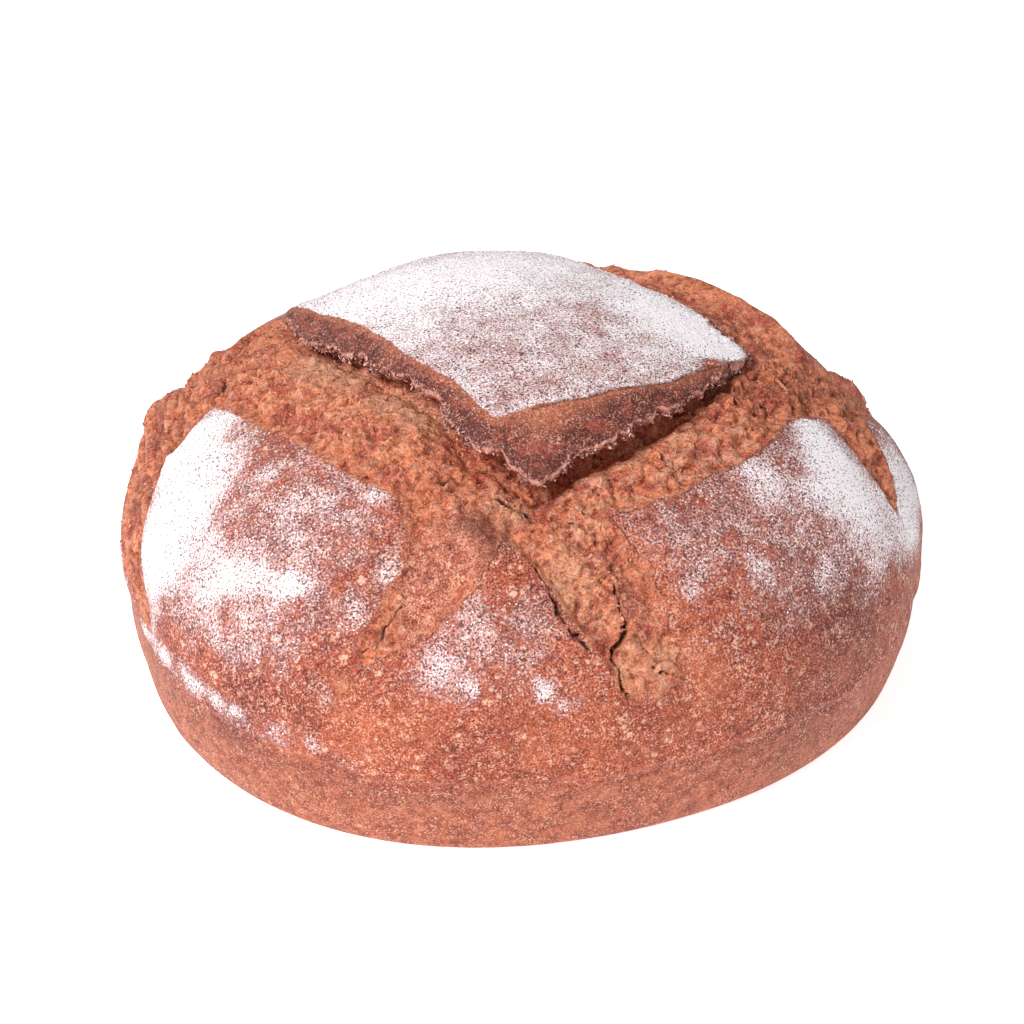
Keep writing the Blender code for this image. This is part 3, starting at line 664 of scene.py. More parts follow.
def makeBody():
    settings = bodyPiece
    bpy.ops.object.select_all(action="DESELECT")
    bpy.ops.mesh.primitive_ico_sphere_add(subdivisions=settings["ballSteps"], radius=1.0)
    body = bpy.context.object
    body.name = settings["name"]
    chart = chartOf(faceCentres(body))
    isFront = (chart[:, 1] < settings["frontTo"][0]) & (polar(chart)[0] < settings["frontTo"][1])
    uncut = 0.6 * np.median(faceAreas(body))
    cutFaces(body, inTornDough(chart) & isFront, settings["tearCuts"][0])
    chart = chartOf(unit(faceCentres(body)))
    cutFaces(body, inTornDough(chart) & (faceAreas(body) > uncut), settings["tearCuts"][1])
    chart = chartOf(unit(faceCentres(body)))
    nearCrack = np.zeros(len(chart), bool)
    for crack in cracks.values():
        nearCrack |= toPath(chart, crack[0])[0] < settings["crackMargin"]
    cutFaces(body, nearCrack, 1)
    chart = chartOf(unit(vertexPlaces(body)))
    lift, masks = bodyRelief(chart)
    places = onLoaf(chart, lift)
    places[polar(chart)[0] >= baseFrom, 2] = 0.0
    places[:, 2] = np.maximum(places[:, 2], 0.0)
    setPlaces(body, places)
    for name, values in masks.items():
        paint(body, name, values)
    body.data.shade_smooth()
    print("body shaped,", len(body.data.polygons), "faces")
    return body


platePiece = {
    "name": "middlePlate",
    "cells": 205,
    "lipCrowding": 1.35,  # above 1, the grid is finer near the lip
    "lift": 5.5 * mm,  # how far its front corner stands above the dome
    "liftFrom": -8 * mm,
    "liftTo": 70 * mm,
    "tip": ((-68, 30), 15 * mm, 2.6 * mm),  # its left corner curls up
    "bandDrop": 3.2 * mm,  # how far the bare band slopes down to the lip
    "backDrop": 1.5 * mm,
    "backBand": 6 * mm,
    "lipThickness": 2.0 * mm,
    "thickness": 15 * mm,
    "thickFrom": 17 * mm,
    "ragged": (1.0 * mm, 2.1 * mm),  # how the torn rim frays, and its size
    "frayed": (2.6 * mm, 7.0 * mm),
    "wave": (0.9 * mm, 9.0 * mm),  # the uneven bare band
    "fraying": 3.0 * mm,  # how far in from the rim
    "pebble": (0.16 * mm, 1.7 * mm),
    "ripple": (0.35 * mm, 6.5 * mm),
    "lipGrain": (0.7 * mm, 2.0 * mm),
    "lipGrainReach": 2.0 * mm,  # how far in from the rim
    "belly": ((0.8 * mm, 3.1 * mm), (0.4 * mm, 1.6 * mm)),  # the rough underside
    "biteReach": 4 * mm,
    "flourFloor": 0.56,
    "foldDepth": 0.55 * mm,
    "foldWidth": 0.6 * mm,
}
# Where the plate kept its flour, and the crease at its front right
floured = ((-60, 26), (-4, -51), (12, -46), (36, -33), (50, -19), (65, -1), (9, 82), (-32, 70), (-68, 35))
foldLine = ((6, -49), (12, -46), (24, -40), (36, -33), (44, -25), (50, -19), (56, -12))
plateSpots = (
    (-42, 24, 22, 0.4), (-18, 32, 24, 0.35), (10, 40, 26, 0.3), (52, 2, 11, 0.55), (62, -4, 7, 0.5),
    (40, 14, 12, 0.4), (-8, -16, 12, -0.10), (6, -36, 9, -0.12), (22, 0, 7, -0.12), (-2, -44, 5, -0.10),
    (26, -28, 7, -0.05), (54, -12, 2.8, -0.9), (58, -9, 2.2, -0.5), (44, 5, 9, 0.3), (-25, -5, 9, 0.08),
    (-14, -30, 8, 0.06),
)
# Bites out of the torn rim: place, size and depth in mm
lipBites = (
    (51, -29, 2.4, 4.0), (43, -38, 1.6, 1.8), (31, -52, 1.5, 1.6), (20, -62, 1.8, 1.8),
    (-14, -54, 2.0, 1.8), (-3, -62, 1.6, 1.8), (-30, -27, 2.0, 1.4), (-46, -8, 2.2, 1.6),
    (60, -9, 2.0, 1.6),
)


def sidePoints(name, nextName, share):
    corners = np.array([corner[:2] for corner in (*middleSides[name], middleSides[nextName][0])]) * mm
    walked = np.concatenate([[0.0], np.cumsum(np.linalg.norm(np.diff(corners, axis=0), axis=1))])
    return np.stack([np.interp(share * walked[-1], walked, corners[:, axis]) for axis in (0, 1)], axis=1)


def plateChart(down, along):  # chart place of each grid point, between the plate's four sides
    frontLeft = sidePoints("frontLeft", "frontRight", along)
    frontRight = sidePoints("frontRight", "backRight", down)
    backRight = sidePoints("backRight", "backLeft", 1 - along)
    backLeft = sidePoints("backLeft", "frontLeft", 1 - down)
    left, front, right, back = (np.array(middleSides[name][0][:2]) * mm for name in
                                ("frontLeft", "frontRight", "backRight", "backLeft"))
    down, along = down[:, None], along[:, None]
    ruled = (1 - down) * frontLeft + down * backRight
    crossed = (1 - along) * backLeft + along * frontRight
    flat = (1 - down) * ((1 - along) * left + along * front) + down * ((1 - along) * back + along * right)
    return ruled + crossed - flat


def plateLift(chart, plain, inward):
    settings = platePiece
    front = -chart[:, 1] + 0.1 * chart[:, 0]
    lift = settings["lift"] * smoothStep(settings["liftFrom"], settings["liftTo"], front)
    lift += tearForm["plateBulge"] + swell(chart) + bump(chart, settings["tip"])
    border = toOutline(plain, floured)[0]
    outside = np.maximum(border, 0)
    bare = outside / (outside + inward + 0.1 * mm)
    share = frontShare(chart)
    lift -= settings["bandDrop"] * bare**1.3 * share
    lift -= settings["backDrop"] * np.clip(1 - inward / settings["backBand"], 0, 1) ** 2 * (1 - share)
    thick = settings["lipThickness"]
    thick = thick + (settings["thickness"] - thick) * smoothStep(0, settings["thickFrom"], inward)
    return lift, thick, border


def makeMiddlePlate():
    settings = platePiece
    cells = settings["cells"]
    bpy.ops.object.select_all(action="DESELECT")
    bpy.ops.mesh.primitive_grid_add(x_subdivisions=cells, y_subdivisions=cells, size=2.0)
    plate = bpy.context.object
    plate.name = settings["name"]
    bpy.ops.object.mode_set(mode="EDIT")
    bpy.ops.mesh.select_all(action="SELECT")
    bpy.ops.mesh.extrude_region_move(TRANSFORM_OT_translate={"value": (0, 0, 1.0)})
    bpy.ops.object.mode_set(mode="OBJECT")
    flat = vertexPlaces(plate)
    onTop = flat[:, 2] > 0.5
    crowding = settings["lipCrowding"]
    down = ((1 - flat[:, 1]) / 2) ** crowding
    along = 1 - ((1 - flat[:, 0]) / 2) ** crowding
    plain = plateChart(down, along)
    inward = np.maximum(-toOutline(plain, middleOutline)[0], 0)
    chart = plain - wander(plain)
    lift, thick, border = plateLift(chart, plain, inward)
    share = frontShare(chart)
    solid = onLoaf(chart, 0)
    nearRim = np.exp(-inward / settings["fraying"]) * (0.15 + 0.85 * share)
    fray = rough(solid, settings["ragged"], 5.5)
    depth, size = settings["frayed"]
    fray += depth * np.minimum(waves(solid, size, 1.9), 0.15)
    bites = spotSum(plain, lipBites) * mm * np.exp(-inward / settings["biteReach"])
    chart = chart + unit(plain) * (fray * nearRim - bites)[:, None]
    fold = toPath(plain - 0.5 * wander(plain * 3.0), foldLine)[0]
    crease = smoothStep(settings["foldWidth"], 0, fold)
    texture = rough(solid, settings["pebble"], 3.3) * (0.5 + 0.5 * smoothStep(0, 2 * mm, border))
    texture += rough(solid, settings["ripple"], 6.1)
    texture += rough(solid, settings["lipGrain"], 8.8) * np.exp(-inward / settings["lipGrainReach"]) * share
    texture += rough(solid, settings["wave"], 4.7) * smoothStep(0, 4 * mm, border) * share
    lift = lift + texture - settings["foldDepth"] * crease
    coarse, fine = settings["belly"]
    belly = (rough(solid, coarse, 0.4) + rough(solid, fine, 7.2)) * smoothStep(0, 3 * mm, inward)
    places = onLoaf(chart, np.where(onTop, lift, lift - thick + belly))
    setPlaces(plate, places)
    bpy.ops.object.mode_set(mode="EDIT")
    bpy.ops.mesh.select_all(action="SELECT")
    bpy.ops.mesh.normals_make_consistent(inside=False)
    bpy.ops.mesh.select_all(action="DESELECT")
    bpy.ops.object.mode_set(mode="OBJECT")
    masks = {
        "border": np.clip(border / mm, -30, 30),
        "flour": settings["flourFloor"] + spotSum(plain, plateSpots),
        "crease": crease,
        "rim": inward / mm,
        "front": share,
        "under": np.where(onTop, 0.0, 1.0),
    }
    for name, values in masks.items():
        paint(plate, name, values)
    plate.data.shade_smooth()
    print("middle plate shaped,", len(plate.data.polygons), "faces")
    return plate


def tone(red, green, blue):  # a screen colour from 0 to 255 as the linear colour that shaders take
    shares = [value / 255 for value in (red, green, blue)]
    linear = [share / 12.92 if share <= 0.04 else ((share + 0.055) / 1.055) ** 2.4 for share in shares]
    return (*linear, 1.0)


def addNode(tree, kind, **values):
    node = tree.nodes.new(kind)
    count = len(tree.nodes)
    node.location = (220 * (count % 14), -280 * (count // 14))
    for name, value in values.items():
        setattr(node, name, value)
    return node


def plug(tree, source, socket):  # a socket is linked, and anything else is set as its value
    if isinstance(source, bpy.types.NodeSocket):
        tree.links.new(source, socket)
    elif source is not None:
        socket.default_value = source


def calc(tree, operation, first, second=None, clamp=False):
    node = addNode(tree, "ShaderNodeMath", operation=operation, use_clamp=clamp)
    plug(tree, first, node.inputs[0])
    plug(tree, second, node.inputs[1])
    return node.outputs[0]


def plus(tree, first, second):
    return calc(tree, "ADD", first, second)


def minus(tree, first, second):
    return calc(tree, "SUBTRACT", first, second)


def times(tree, first, second, clamp=False):
    return calc(tree, "MULTIPLY", first, second, clamp)


def ranged(tree, value, low, high, newLow=0.0, newHigh=1.0):
    node = addNode(tree, "ShaderNodeMapRange", interpolation_type="SMOOTHSTEP")
    for source, socket in zip((value, low, high, newLow, newHigh), node.inputs):
        plug(tree, source, socket)
    return node.outputs[0]


def blended(tree, share, first, second, kind="MIX"):
    node = addNode(tree, "ShaderNodeMix", data_type="RGBA", blend_type=kind)
    plug(tree, share, node.inputs["Factor"])
    plug(tree, first, node.inputs[6])
    plug(tree, second, node.inputs[7])
    return node.outputs[2]


def noiseOf(tree, vector, size, detail=2.0, roughness=0.5, distortion=0.0):  # size is in mm
    node = addNode(tree, "ShaderNodeTexNoise")
    plug(tree, vector, node.inputs["Vector"])
    plug(tree, 1000.0 / size, node.inputs["Scale"])
    plug(tree, detail, node.inputs["Detail"])
    plug(tree, roughness, node.inputs["Roughness"])
    plug(tree, distortion, node.inputs["Distortion"])
    return node.outputs["Fac"]


def cellsOf(tree, vector, size):  # size is in mm
    node = addNode(tree, "ShaderNodeTexVoronoi")
    plug(tree, vector, node.inputs["Vector"])
    plug(tree, 1000.0 / size, node.inputs["Scale"])
    return node.outputs["Distance"]


def mask(tree, name):  # a painted vertex mask
    return addNode(tree, "ShaderNodeAttribute", attribute_name=name).outputs["Fac"]


def newGroup(name, inputs, outputs):
    tree = bpy.data.node_groups.new(name, "ShaderNodeTree")
    for label, kind, value in inputs:
        socket = tree.interface.new_socket(name=label, in_out="INPUT", socket_type=kind)
        if value is not None:
            socket.default_value = value
    for label, kind in outputs:
        tree.interface.new_socket(name=label, in_out="OUTPUT", socket_type=kind)
    return tree, addNode(tree, "NodeGroupInput").outputs, addNode(tree, "NodeGroupOutput").inputs


def useGroup(tree, group, **values):
    node = addNode(tree, "ShaderNodeGroup", node_tree=group)
    for name, value in values.items():
        plug(tree, value, node.inputs[name])
    return node.outputs


floatSocket, vectorSocket, colourSocket = "NodeSocketFloat", "NodeSocketVector", "NodeSocketColor"


crustTones = {
    "red": tone(150, 64, 45),
    "orange": tone(178, 86, 56),
    "brown": tone(114, 48, 36),
    "dark": tone(88, 40, 34),
    "golden": tone(190, 102, 64),
    "pulled": tone(222, 146, 118),
    "blob": tone(242, 196, 164),
    "fleck": tone(250, 202, 172),
    "toast": tone(112, 54, 46),
    "wall": tone(180, 101, 72),
    "wallShade": tone(150, 76, 54),
    # painted shade inside the cracks and pores
    "crack": tone(60, 26, 18),
    "speck": (0.30, 0.13, 0.09, 1.0),  # what a dark speck leaves of the colour below it
}
tornTones = {
    "red": tone(194, 88, 66),
    "gold": tone(232, 138, 98),
    "peach": tone(255, 198, 165),
    "shade": tone(130, 50, 28),
    "pale": tone(226, 168, 132),
}
bandTones = {
    "brown": tone(144, 67, 51),
    "purple": tone(98, 42, 35),
    "gold": tone(182, 106, 76),
    "lace": tone(222, 160, 146),
    # painted shade along the plate's crease
    "crease": tone(84, 40, 34),
}
flourTones = {
    "white": tone(254, 248, 251),
    "dust": tone(238, 206, 207),
    "speck": tone(88, 48, 43),
}


def makeSpeckle():
    tree, source, result = newGroup("speckle", (
        ("Vector", vectorSocket, None), ("Color", colourSocket, None), ("Contrast", floatSocket, 0.3),
    ), (("Color", colourSocket), ("Height", floatSocket)))
    vector, contrast = source["Vector"], source["Contrast"]
    fine = noiseOf(tree, vector, 0.52, 0.5, 0.6)
    coarse = noiseOf(tree, vector, 2.3, 3.0, 0.65)
    mixed = plus(tree, times(tree, fine, 0.62), times(tree, coarse, 0.38))
    dark = times(tree, ranged(tree, mixed, 0.51, 0.36), contrast, clamp=True)
    light = times(tree, ranged(tree, mixed, 0.525, 0.65), contrast, clamp=True)
    light = times(tree, light, ranged(tree, noiseOf(tree, vector, 8.0, 2.0, 0.6), 0.40, 0.60, 0.45, 1.0))
    colour = blended(tree, dark, source["Color"], crustTones["speck"], "MULTIPLY")
    plug(tree, blended(tree, times(tree, light, 0.72), colour, crustTones["fleck"]), result["Color"])
    plug(tree, mixed, result["Height"])
    return tree


def makeBakedTone():
    tree, source, result = newGroup("bakedTone", (
        ("Vector", vectorSocket, None), ("Toast", floatSocket, 0.0),
    ), (("Color", colourSocket), ("Height", floatSocket)))
    vector = source["Vector"]
    patches = noiseOf(tree, vector, 24.0, 2.0, 0.5)
    mottle = noiseOf(tree, vector, 5.0, 3.0, 0.6)
    mixed = plus(tree, times(tree, patches, 0.55), times(tree, mottle, 0.45))
    colour = blended(tree, ranged(tree, mixed, 0.38, 0.62), crustTones["orange"], crustTones["red"])
    colour = blended(tree, ranged(tree, mottle, 0.50, 0.72, 0.0, 0.6), colour, crustTones["brown"])
    colour = blended(tree, source["Toast"], colour, crustTones["dark"])
    dots = ranged(tree, cellsOf(tree, vector, 3.0), 0.34, 0.14)
    some = ranged(tree, noiseOf(tree, vector, 6.0, 1.0, 0.5), 0.44, 0.58)
    dots = times(tree, dots, some)
    colour = blended(tree, times(tree, dots, 0.6), colour, crustTones["fleck"])
    uneven = plus(tree, times(tree, mottle, 0.35), times(tree, noiseOf(tree, vector, 1.2), 0.5))
    blobs = plus(tree, cellsOf(tree, vector, 5.5), uneven)
    blobs = times(tree, ranged(tree, blobs, 0.63, 0.50), ranged(tree, patches, 0.42, 0.56, 0.3, 0.8))
    colour = blended(tree, blobs, colour, crustTones["blob"])
    plug(tree, colour, result["Color"])
    plug(tree, plus(tree, times(tree, dots, 0.25), mottle), result["Height"])
    return tree


def makeTornTone():
    tree, source, result = newGroup("tornTone", (
        ("Vector", vectorSocket, None), ("Pale", floatSocket, 0.0), ("Peak", floatSocket, 0.0),
    ), (("Color", colourSocket), ("Height", floatSocket)))
    vector = source["Vector"]
    patches = noiseOf(tree, vector, 8.0, 3.0, 0.65)
    tufts = noiseOf(tree, vector, 3.0, 3.0, 0.65, 0.8)
    colour = blended(tree, ranged(tree, patches, 0.46, 0.62), tornTones["gold"], tornTones["red"])
    colour = blended(tree, ranged(tree, tufts, 0.52, 0.36, 0.0, 0.65), colour, tornTones["shade"])
    colour = blended(tree, times(tree, source["Pale"], 0.8), colour, tornTones["pale"])
    hollow = ranged(tree, source["Peak"], 0.1, -1.0, 0.0, 0.7)
    colour = blended(tree, hollow, colour, tornTones["shade"])
    veins = calc(tree, "ABSOLUTE", minus(tree, noiseOf(tree, vector, 2.2, 2.0, 0.6, 1.6), 0.5))
    veins = ranged(tree, veins, 0.034, 0.0)
    raised = ranged(tree, source["Peak"], 0.35, 0.95)
    lit = plus(tree, times(tree, raised, 0.40), times(tree, veins, 0.75))
    some = ranged(tree, noiseOf(tree, vector, 5.0, 2.0, 0.6), 0.42, 0.58, 0.15, 1.0)
    lit = times(tree, lit, some, clamp=True)
    colour = blended(tree, lit, colour, tornTones["peach"])
    plug(tree, colour, result["Color"])
    height = plus(tree, times(tree, veins, 0.5), times(tree, tufts, 1.3))
    plug(tree, plus(tree, height, noiseOf(tree, vector, 1.3, 2.0, 0.6)), result["Height"])
    return tree


def makeFlourDust():
    tree, source, result = newGroup("flourDust", (
        ("Vector", vectorSocket, None), ("Amount", floatSocket, 0.5), ("Below", colourSocket, None),
    ), (("Color", colourSocket), ("Height", floatSocket)))
    vector, amount = source["Vector"], source["Amount"]
    drifts = minus(tree, noiseOf(tree, vector, 8.0, 3.0, 0.6), 0.5)
    amount = plus(tree, amount, times(tree, drifts, ranged(tree, amount, 0.02, 0.3, 0.0, 0.8)))
    level = minus(tree, 0.86, times(tree, amount, 0.63))
    film = minus(tree, noiseOf(tree, vector, 0.80, 1.5, 0.6), level)
    film = ranged(tree, film, -0.27, 0.08, 0.0, 0.87)
    film = calc(tree, "MAXIMUM", film, ranged(tree, amount, 0.12, 0.5, 0.0, 0.34))
    cover = minus(tree, noiseOf(tree, vector, 0.50, 0.6, 0.5), level)
    cover = ranged(tree, cover, -0.05, 0.10, 0.0, 0.96)
    colour = blended(tree, film, source["Below"], flourTones["dust"])
    colour = blended(tree, cover, colour, flourTones["white"])
    specks = minus(tree, noiseOf(tree, vector, 0.60, 0.5, 0.5), times(tree, amount, 0.10))
    specks = ranged(tree, specks, 0.52, 0.58, 0.0, 0.88)
    floured = ranged(tree, amount, 0.10, 0.30)
    colour = blended(tree, times(tree, specks, floured), colour, flourTones["speck"])
    plug(tree, colour, result["Color"])
    plug(tree, plus(tree, cover, film), result["Height"])
    return tree


speckle, bakedTone, tornTone, flourDust = makeSpeckle(), makeBakedTone(), makeTornTone(), makeFlourDust()
print("shared shader groups built")


def newFinish(name, roughness):
    finish = bpy.data.materials.new(name)
    finish.use_nodes = True
    tree = finish.node_tree
    shader = tree.nodes["Principled BSDF"]
    shader.inputs["Specular IOR Level"].default_value = 0.35
    plug(tree, roughness, shader.inputs["Roughness"])
    vector = addNode(tree, "ShaderNodeTexCoord").outputs["Object"]
    return finish, tree, shader, vector


def roughened(tree, shader, height, strength):  # height is in mm
    node = addNode(tree, "ShaderNodeBump")
    node.inputs["Distance"].default_value = mm
    node.inputs["Strength"].default_value = strength
    plug(tree, height, node.inputs["Height"])
    plug(tree, node.outputs["Normal"], shader.inputs["Normal"])


def makeCrustFinish():
    finish, tree, shader, vector = newFinish("flouredCrust", 0.7)
    edgeNoise = times(tree, minus(tree, noiseOf(tree, vector, 2.4, 3.0, 0.7), 0.5), 4.0)
    soft = minus(tree, noiseOf(tree, vector, 7.0, 3.0, 0.6), 0.5)
    soft = times(tree, times(tree, soft, 26.0), mask(tree, "golden"))
    edge = plus(tree, plus(tree, mask(tree, "edge"), soft), edgeNoise)
    fadeNoise = plus(tree, mask(tree, "fade"), times(tree, edgeNoise, 0.12))
    torn = times(tree, ranged(tree, edge, -0.3, 0.5), ranged(tree, fadeNoise, 0.12, 0.5))
    baked = useGroup(tree, bakedTone, Vector=vector, Toast=0.0)
    wallPatches = ranged(tree, noiseOf(tree, vector, 4.0, 3.0, 0.6), 0.4, 0.62)
    wallTone = blended(tree, wallPatches, crustTones["wall"], crustTones["wallShade"])
    crust = blended(tree, mask(tree, "wall"), baked["Color"], wallTone)
    dough = useGroup(tree, tornTone, Vector=vector, Pale=mask(tree, "pale"), Peak=mask(tree, "peak"))
    crust = blended(tree, times(tree, mask(tree, "golden"), 0.75), crust, crustTones["golden"])
    crust = blended(tree, times(tree, mask(tree, "toast"), 0.8), crust, crustTones["toast"])
    pulled = ranged(tree, noiseOf(tree, vector, 4.0, 3.0, 0.6), 0.36, 0.62, 0.05, 0.65)
    crust = blended(tree, times(tree, mask(tree, "stretched"), pulled), crust, crustTones["pulled"])
    opened = times(tree, torn, minus(tree, 1.0, mask(tree, "stretched")))
    toasted = blended(tree, times(tree, mask(tree, "toast"), 0.8), dough["Color"], crustTones["toast"])
    colour = blended(tree, opened, crust, toasted)
    whole = minus(tree, 1.0, torn)
    contrast = plus(tree, times(tree, whole, 0.4), 0.45)
    for name, share in (("stretched", 0.35), ("wall", -0.2), ("golden", -0.25), ("roll", -0.25)):
        contrast = plus(tree, contrast, times(tree, mask(tree, name), share))
    speck = useGroup(tree, speckle, Vector=vector, Color=colour, Contrast=contrast)
    amount = times(tree, mask(tree, "flour"), whole)
    dust = useGroup(tree, flourDust, Vector=vector, Amount=amount, Below=speck["Color"])
    # Painted shade inside the cracks and pores
    crackShade = ranged(tree, mask(tree, "crack"), 0.35, 0.95, 0.0, 0.9)
    colour = blended(tree, crackShade, dust["Color"], crustTones["crack"])
    plug(tree, colour, shader.inputs["Base Color"])
    height = plus(tree, times(tree, speck["Height"], 0.5), times(tree, dust["Height"], 0.12))
    height = plus(tree, height, times(tree, times(tree, dough["Height"], opened), 1.1))
    height = plus(tree, height, times(tree, baked["Height"], 0.2))
    roughened(tree, shader, height, 0.8)
    return finish


def makePlateFinish():
    finish, tree, shader, vector = newFinish("flouredPlate", 0.7)
    wobble = times(tree, minus(tree, noiseOf(tree, vector, 2.0, 3.0, 0.7), 0.5), 2.0)
    border = plus(tree, mask(tree, "border"), wobble)
    bare = ranged(tree, border, -0.3, 0.4)
    baked = useGroup(tree, bakedTone, Vector=vector, Toast=0.1)
    bandPatches = ranged(tree, noiseOf(tree, vector, 5.0, 4.0, 0.7), 0.42, 0.58)
    band = blended(tree, bandPatches, bandTones["brown"], bandTones["purple"])
    fromRim = plus(tree, mask(tree, "rim"), times(tree, wobble, 2.0))
    band = blended(tree, ranged(tree, fromRim, 4.0, 0.5, 0.0, 0.7), band, bandTones["purple"])
    toasted = blended(tree, ranged(tree, fromRim, 5.5, 15.0, 0.0, 0.85), band, bandTones["gold"])
    toasted = blended(tree, ranged(tree, border, 3.4, 0.8, 0.0, 0.55), toasted, bandTones["gold"])
    lace = ranged(tree, plus(tree, mask(tree, "rim"), times(tree, wobble, 1.6)), 1.0, 0.1)
    lace = times(tree, lace, times(tree, mask(tree, "front"), 0.7))
    toasted = blended(tree, lace, toasted, bandTones["lace"])
    dough = useGroup(tree, tornTone, Vector=vector, Pale=0.2, Peak=0.0)
    colour = blended(tree, bare, baked["Color"], toasted)
    colour = blended(tree, mask(tree, "under"), colour, dough["Color"])
    amount = times(tree, mask(tree, "flour"), minus(tree, 1.0, bare))
    amount = plus(tree, amount, times(tree, bare, 0.04))
    top = minus(tree, 1.0, mask(tree, "under"))
    grainy = minus(tree, 0.75, times(tree, bare, 0.15))
    speck = useGroup(tree, speckle, Vector=vector, Color=colour, Contrast=grainy)
    dust = useGroup(tree, flourDust, Vector=vector, Amount=times(tree, amount, top), Below=speck["Color"])
    # Painted shade along the crease at the plate's front right
    crease = times(tree, mask(tree, "crease"), 0.8)
    colour = blended(tree, crease, dust["Color"], bandTones["crease"])
    plug(tree, colour, shader.inputs["Base Color"])
    height = plus(tree, times(tree, speck["Height"], 0.6), times(tree, dust["Height"], 0.25))
    height = plus(tree, height, times(tree, baked["Height"], 0.2))
    roughened(tree, shader, height, 0.8)
    return finish


def makeCrumbFinish(settings):  # the tone attribute picks between the piece's three colours
    finish, tree, shader, vector = newFinish(settings["finish"], 0.75)
    first, second, third = (tone(*colour) for colour in settings["tones"])
    pick = mask(tree, "tone")
    colour = blended(tree, ranged(tree, pick, 0.15, 0.55), first, second)
    colour = blended(tree, ranged(tree, pick, 0.60, 0.95), colour, third)
    speck = useGroup(tree, speckle, Vector=vector, Color=colour, Contrast=settings["contrast"])
    plug(tree, speck["Color"], shader.inputs["Base Color"])
    roughened(tree, shader, times(tree, speck["Height"], 0.4), 0.7)
    return finish


lipCrumbs = {
    "name": "lipCrumbs",
    "count": 2600,
    "length": (0.5 * mm, 1.6 * mm),
    "width": (0.3 * mm, 0.8 * mm),
    "thickness": 0.12 * mm,
    "tilt": (-0.9, 0.6),
    "curl": (-0.8, 0.8),
    "seed": 11,
    "spread": 0.5 * mm,
    "below": 1.2 * mm,
    "finish": "lipCrumb",
    "tones": ((98, 46, 40), (170, 106, 92), (236, 196, 184)),
    "contrast": 0.2,
}
tornShreds = {
    "name": "tornShreds",
    "count": 2600,
    "length": (0.6 * mm, 1.7 * mm),
    "width": (0.35 * mm, 0.9 * mm),
    "thickness": 0.13 * mm,
    "tilt": (0.0, 0.4),
    "curl": (0.2, 0.9),
    "seed": 23,
    "finish": "tornShred",
    "tones": ((168, 84, 58), (206, 124, 88), (236, 172, 134)),
    "contrast": 0.2,
}
flourClumps = {
    "name": "flourClumps",
    "count": 3800,
    "size": (0.16 * mm, 0.40 * mm),
    "tilt": (-0.4, 0.4),
    "seed": 31,
    "finish": "flourClump",
    "tones": ((240, 222, 224), (252, 244, 248), (254, 250, 253)),
    "contrast": 0.05,
}
doughStrands = {
    "name": "doughStrands",
    "count": 9,
    "from": ((55, -20), (76, 1)),  # the line that they hang from, on the chart in mm
    "reach": (3.0, -6.5),  # from there to where they end
    "radius": (0.3 * mm, 0.6 * mm),
    "rise": 0.6 * mm,
    "widths": (1.6, 1.0, 0.8, 0.7, 0.7, 0.8, 1.1, 1.7),
    "sunk": 0.8 * mm,  # how far their ends lie in the dough
    "stray": (1.2 * mm, 1.6 * mm, 0.8 * mm),  # of the starts, the ends and the middles
    "seed": 47,
    "finish": "doughStrand",
    "tones": ((140, 66, 44), (176, 94, 66), (206, 132, 98)),
    "contrast": 0.3,
}


def finishModel(target):  # a small model's points and faces, after which the model itself goes
    places = vertexPlaces(target)
    faces = [tuple(face.vertices) for face in target.data.polygons]
    faces = sorted(face[face.index(min(face)):] + face[:face.index(min(face))] for face in faces)
    bpy.data.objects.remove(target, do_unlink=True)
    return places, faces


def crumbModel():
    bpy.ops.object.select_all(action="DESELECT")
    bpy.ops.mesh.primitive_ico_sphere_add(subdivisions=1, radius=1.0)
    crumb = bpy.context.object
    places = vertexPlaces(crumb)
    setPlaces(crumb, places * (1 + 0.35 * waves(places, 0.8, 2.5))[:, None])
    return finishModel(crumb)


def shredModel():
    bpy.ops.object.select_all(action="DESELECT")
    bpy.ops.mesh.primitive_grid_add(x_subdivisions=4, y_subdivisions=1, size=1.0)
    shred = bpy.context.object
    bpy.ops.object.mode_set(mode="EDIT")
    bpy.ops.mesh.select_all(action="SELECT")
    bpy.ops.mesh.extrude_region_move(TRANSFORM_OT_translate={"value": (0, 0, 1.0)})
    bpy.ops.mesh.select_all(action="SELECT")
    bpy.ops.mesh.normals_make_consistent(inside=False)
    bpy.ops.object.mode_set(mode="OBJECT")
    places = vertexPlaces(shred)
    places[:, 1] *= 1 - 1.4 * np.abs(places[:, 0]) ** 1.5
    setPlaces(shred, places)
    return finishModel(shred)


def strandModel(widths):
    bpy.ops.object.select_all(action="DESELECT")
    bpy.ops.mesh.primitive_circle_add(vertices=8, radius=widths[0], fill_type="NGON")
    strand = bpy.context.object
    bpy.ops.object.mode_set(mode="EDIT")
    bpy.ops.mesh.select_all(action="SELECT")
    for before, width in zip(widths, widths[1:]):
        bpy.ops.mesh.extrude_region_move(TRANSFORM_OT_translate={"value": (0, 0, 1 / (len(widths) - 1))})
        bpy.ops.transform.resize(value=(width / before, width / before, 1))
    bpy.ops.mesh.select_all(action="SELECT")
    bpy.ops.mesh.normals_make_consistent(inside=False)
    bpy.ops.object.mode_set(mode="OBJECT")
    return finishModel(strand)


# Places and normals of faces drawn by weight and area. Extruding leaves new faces in any order, so
# that a piece with such faces gives its own order.
def chooseFaces(target, weights, count, draw, order=None):
    mesh = target.data
    centres, normals = faceCentres(target), np.empty(len(mesh.polygons) * 3, np.float32)
    mesh.polygons.foreach_get("normal", normals)
    odds = np.maximum(weights, 0) * faceAreas(target)
    order = np.arange(len(odds)) if order is None else order
    chosen = order[draw.choice(len(odds), size=count, p=odds[order] / odds.sum())]
    return centres[chosen], normals.reshape(-1, 3)[chosen].astype(float)


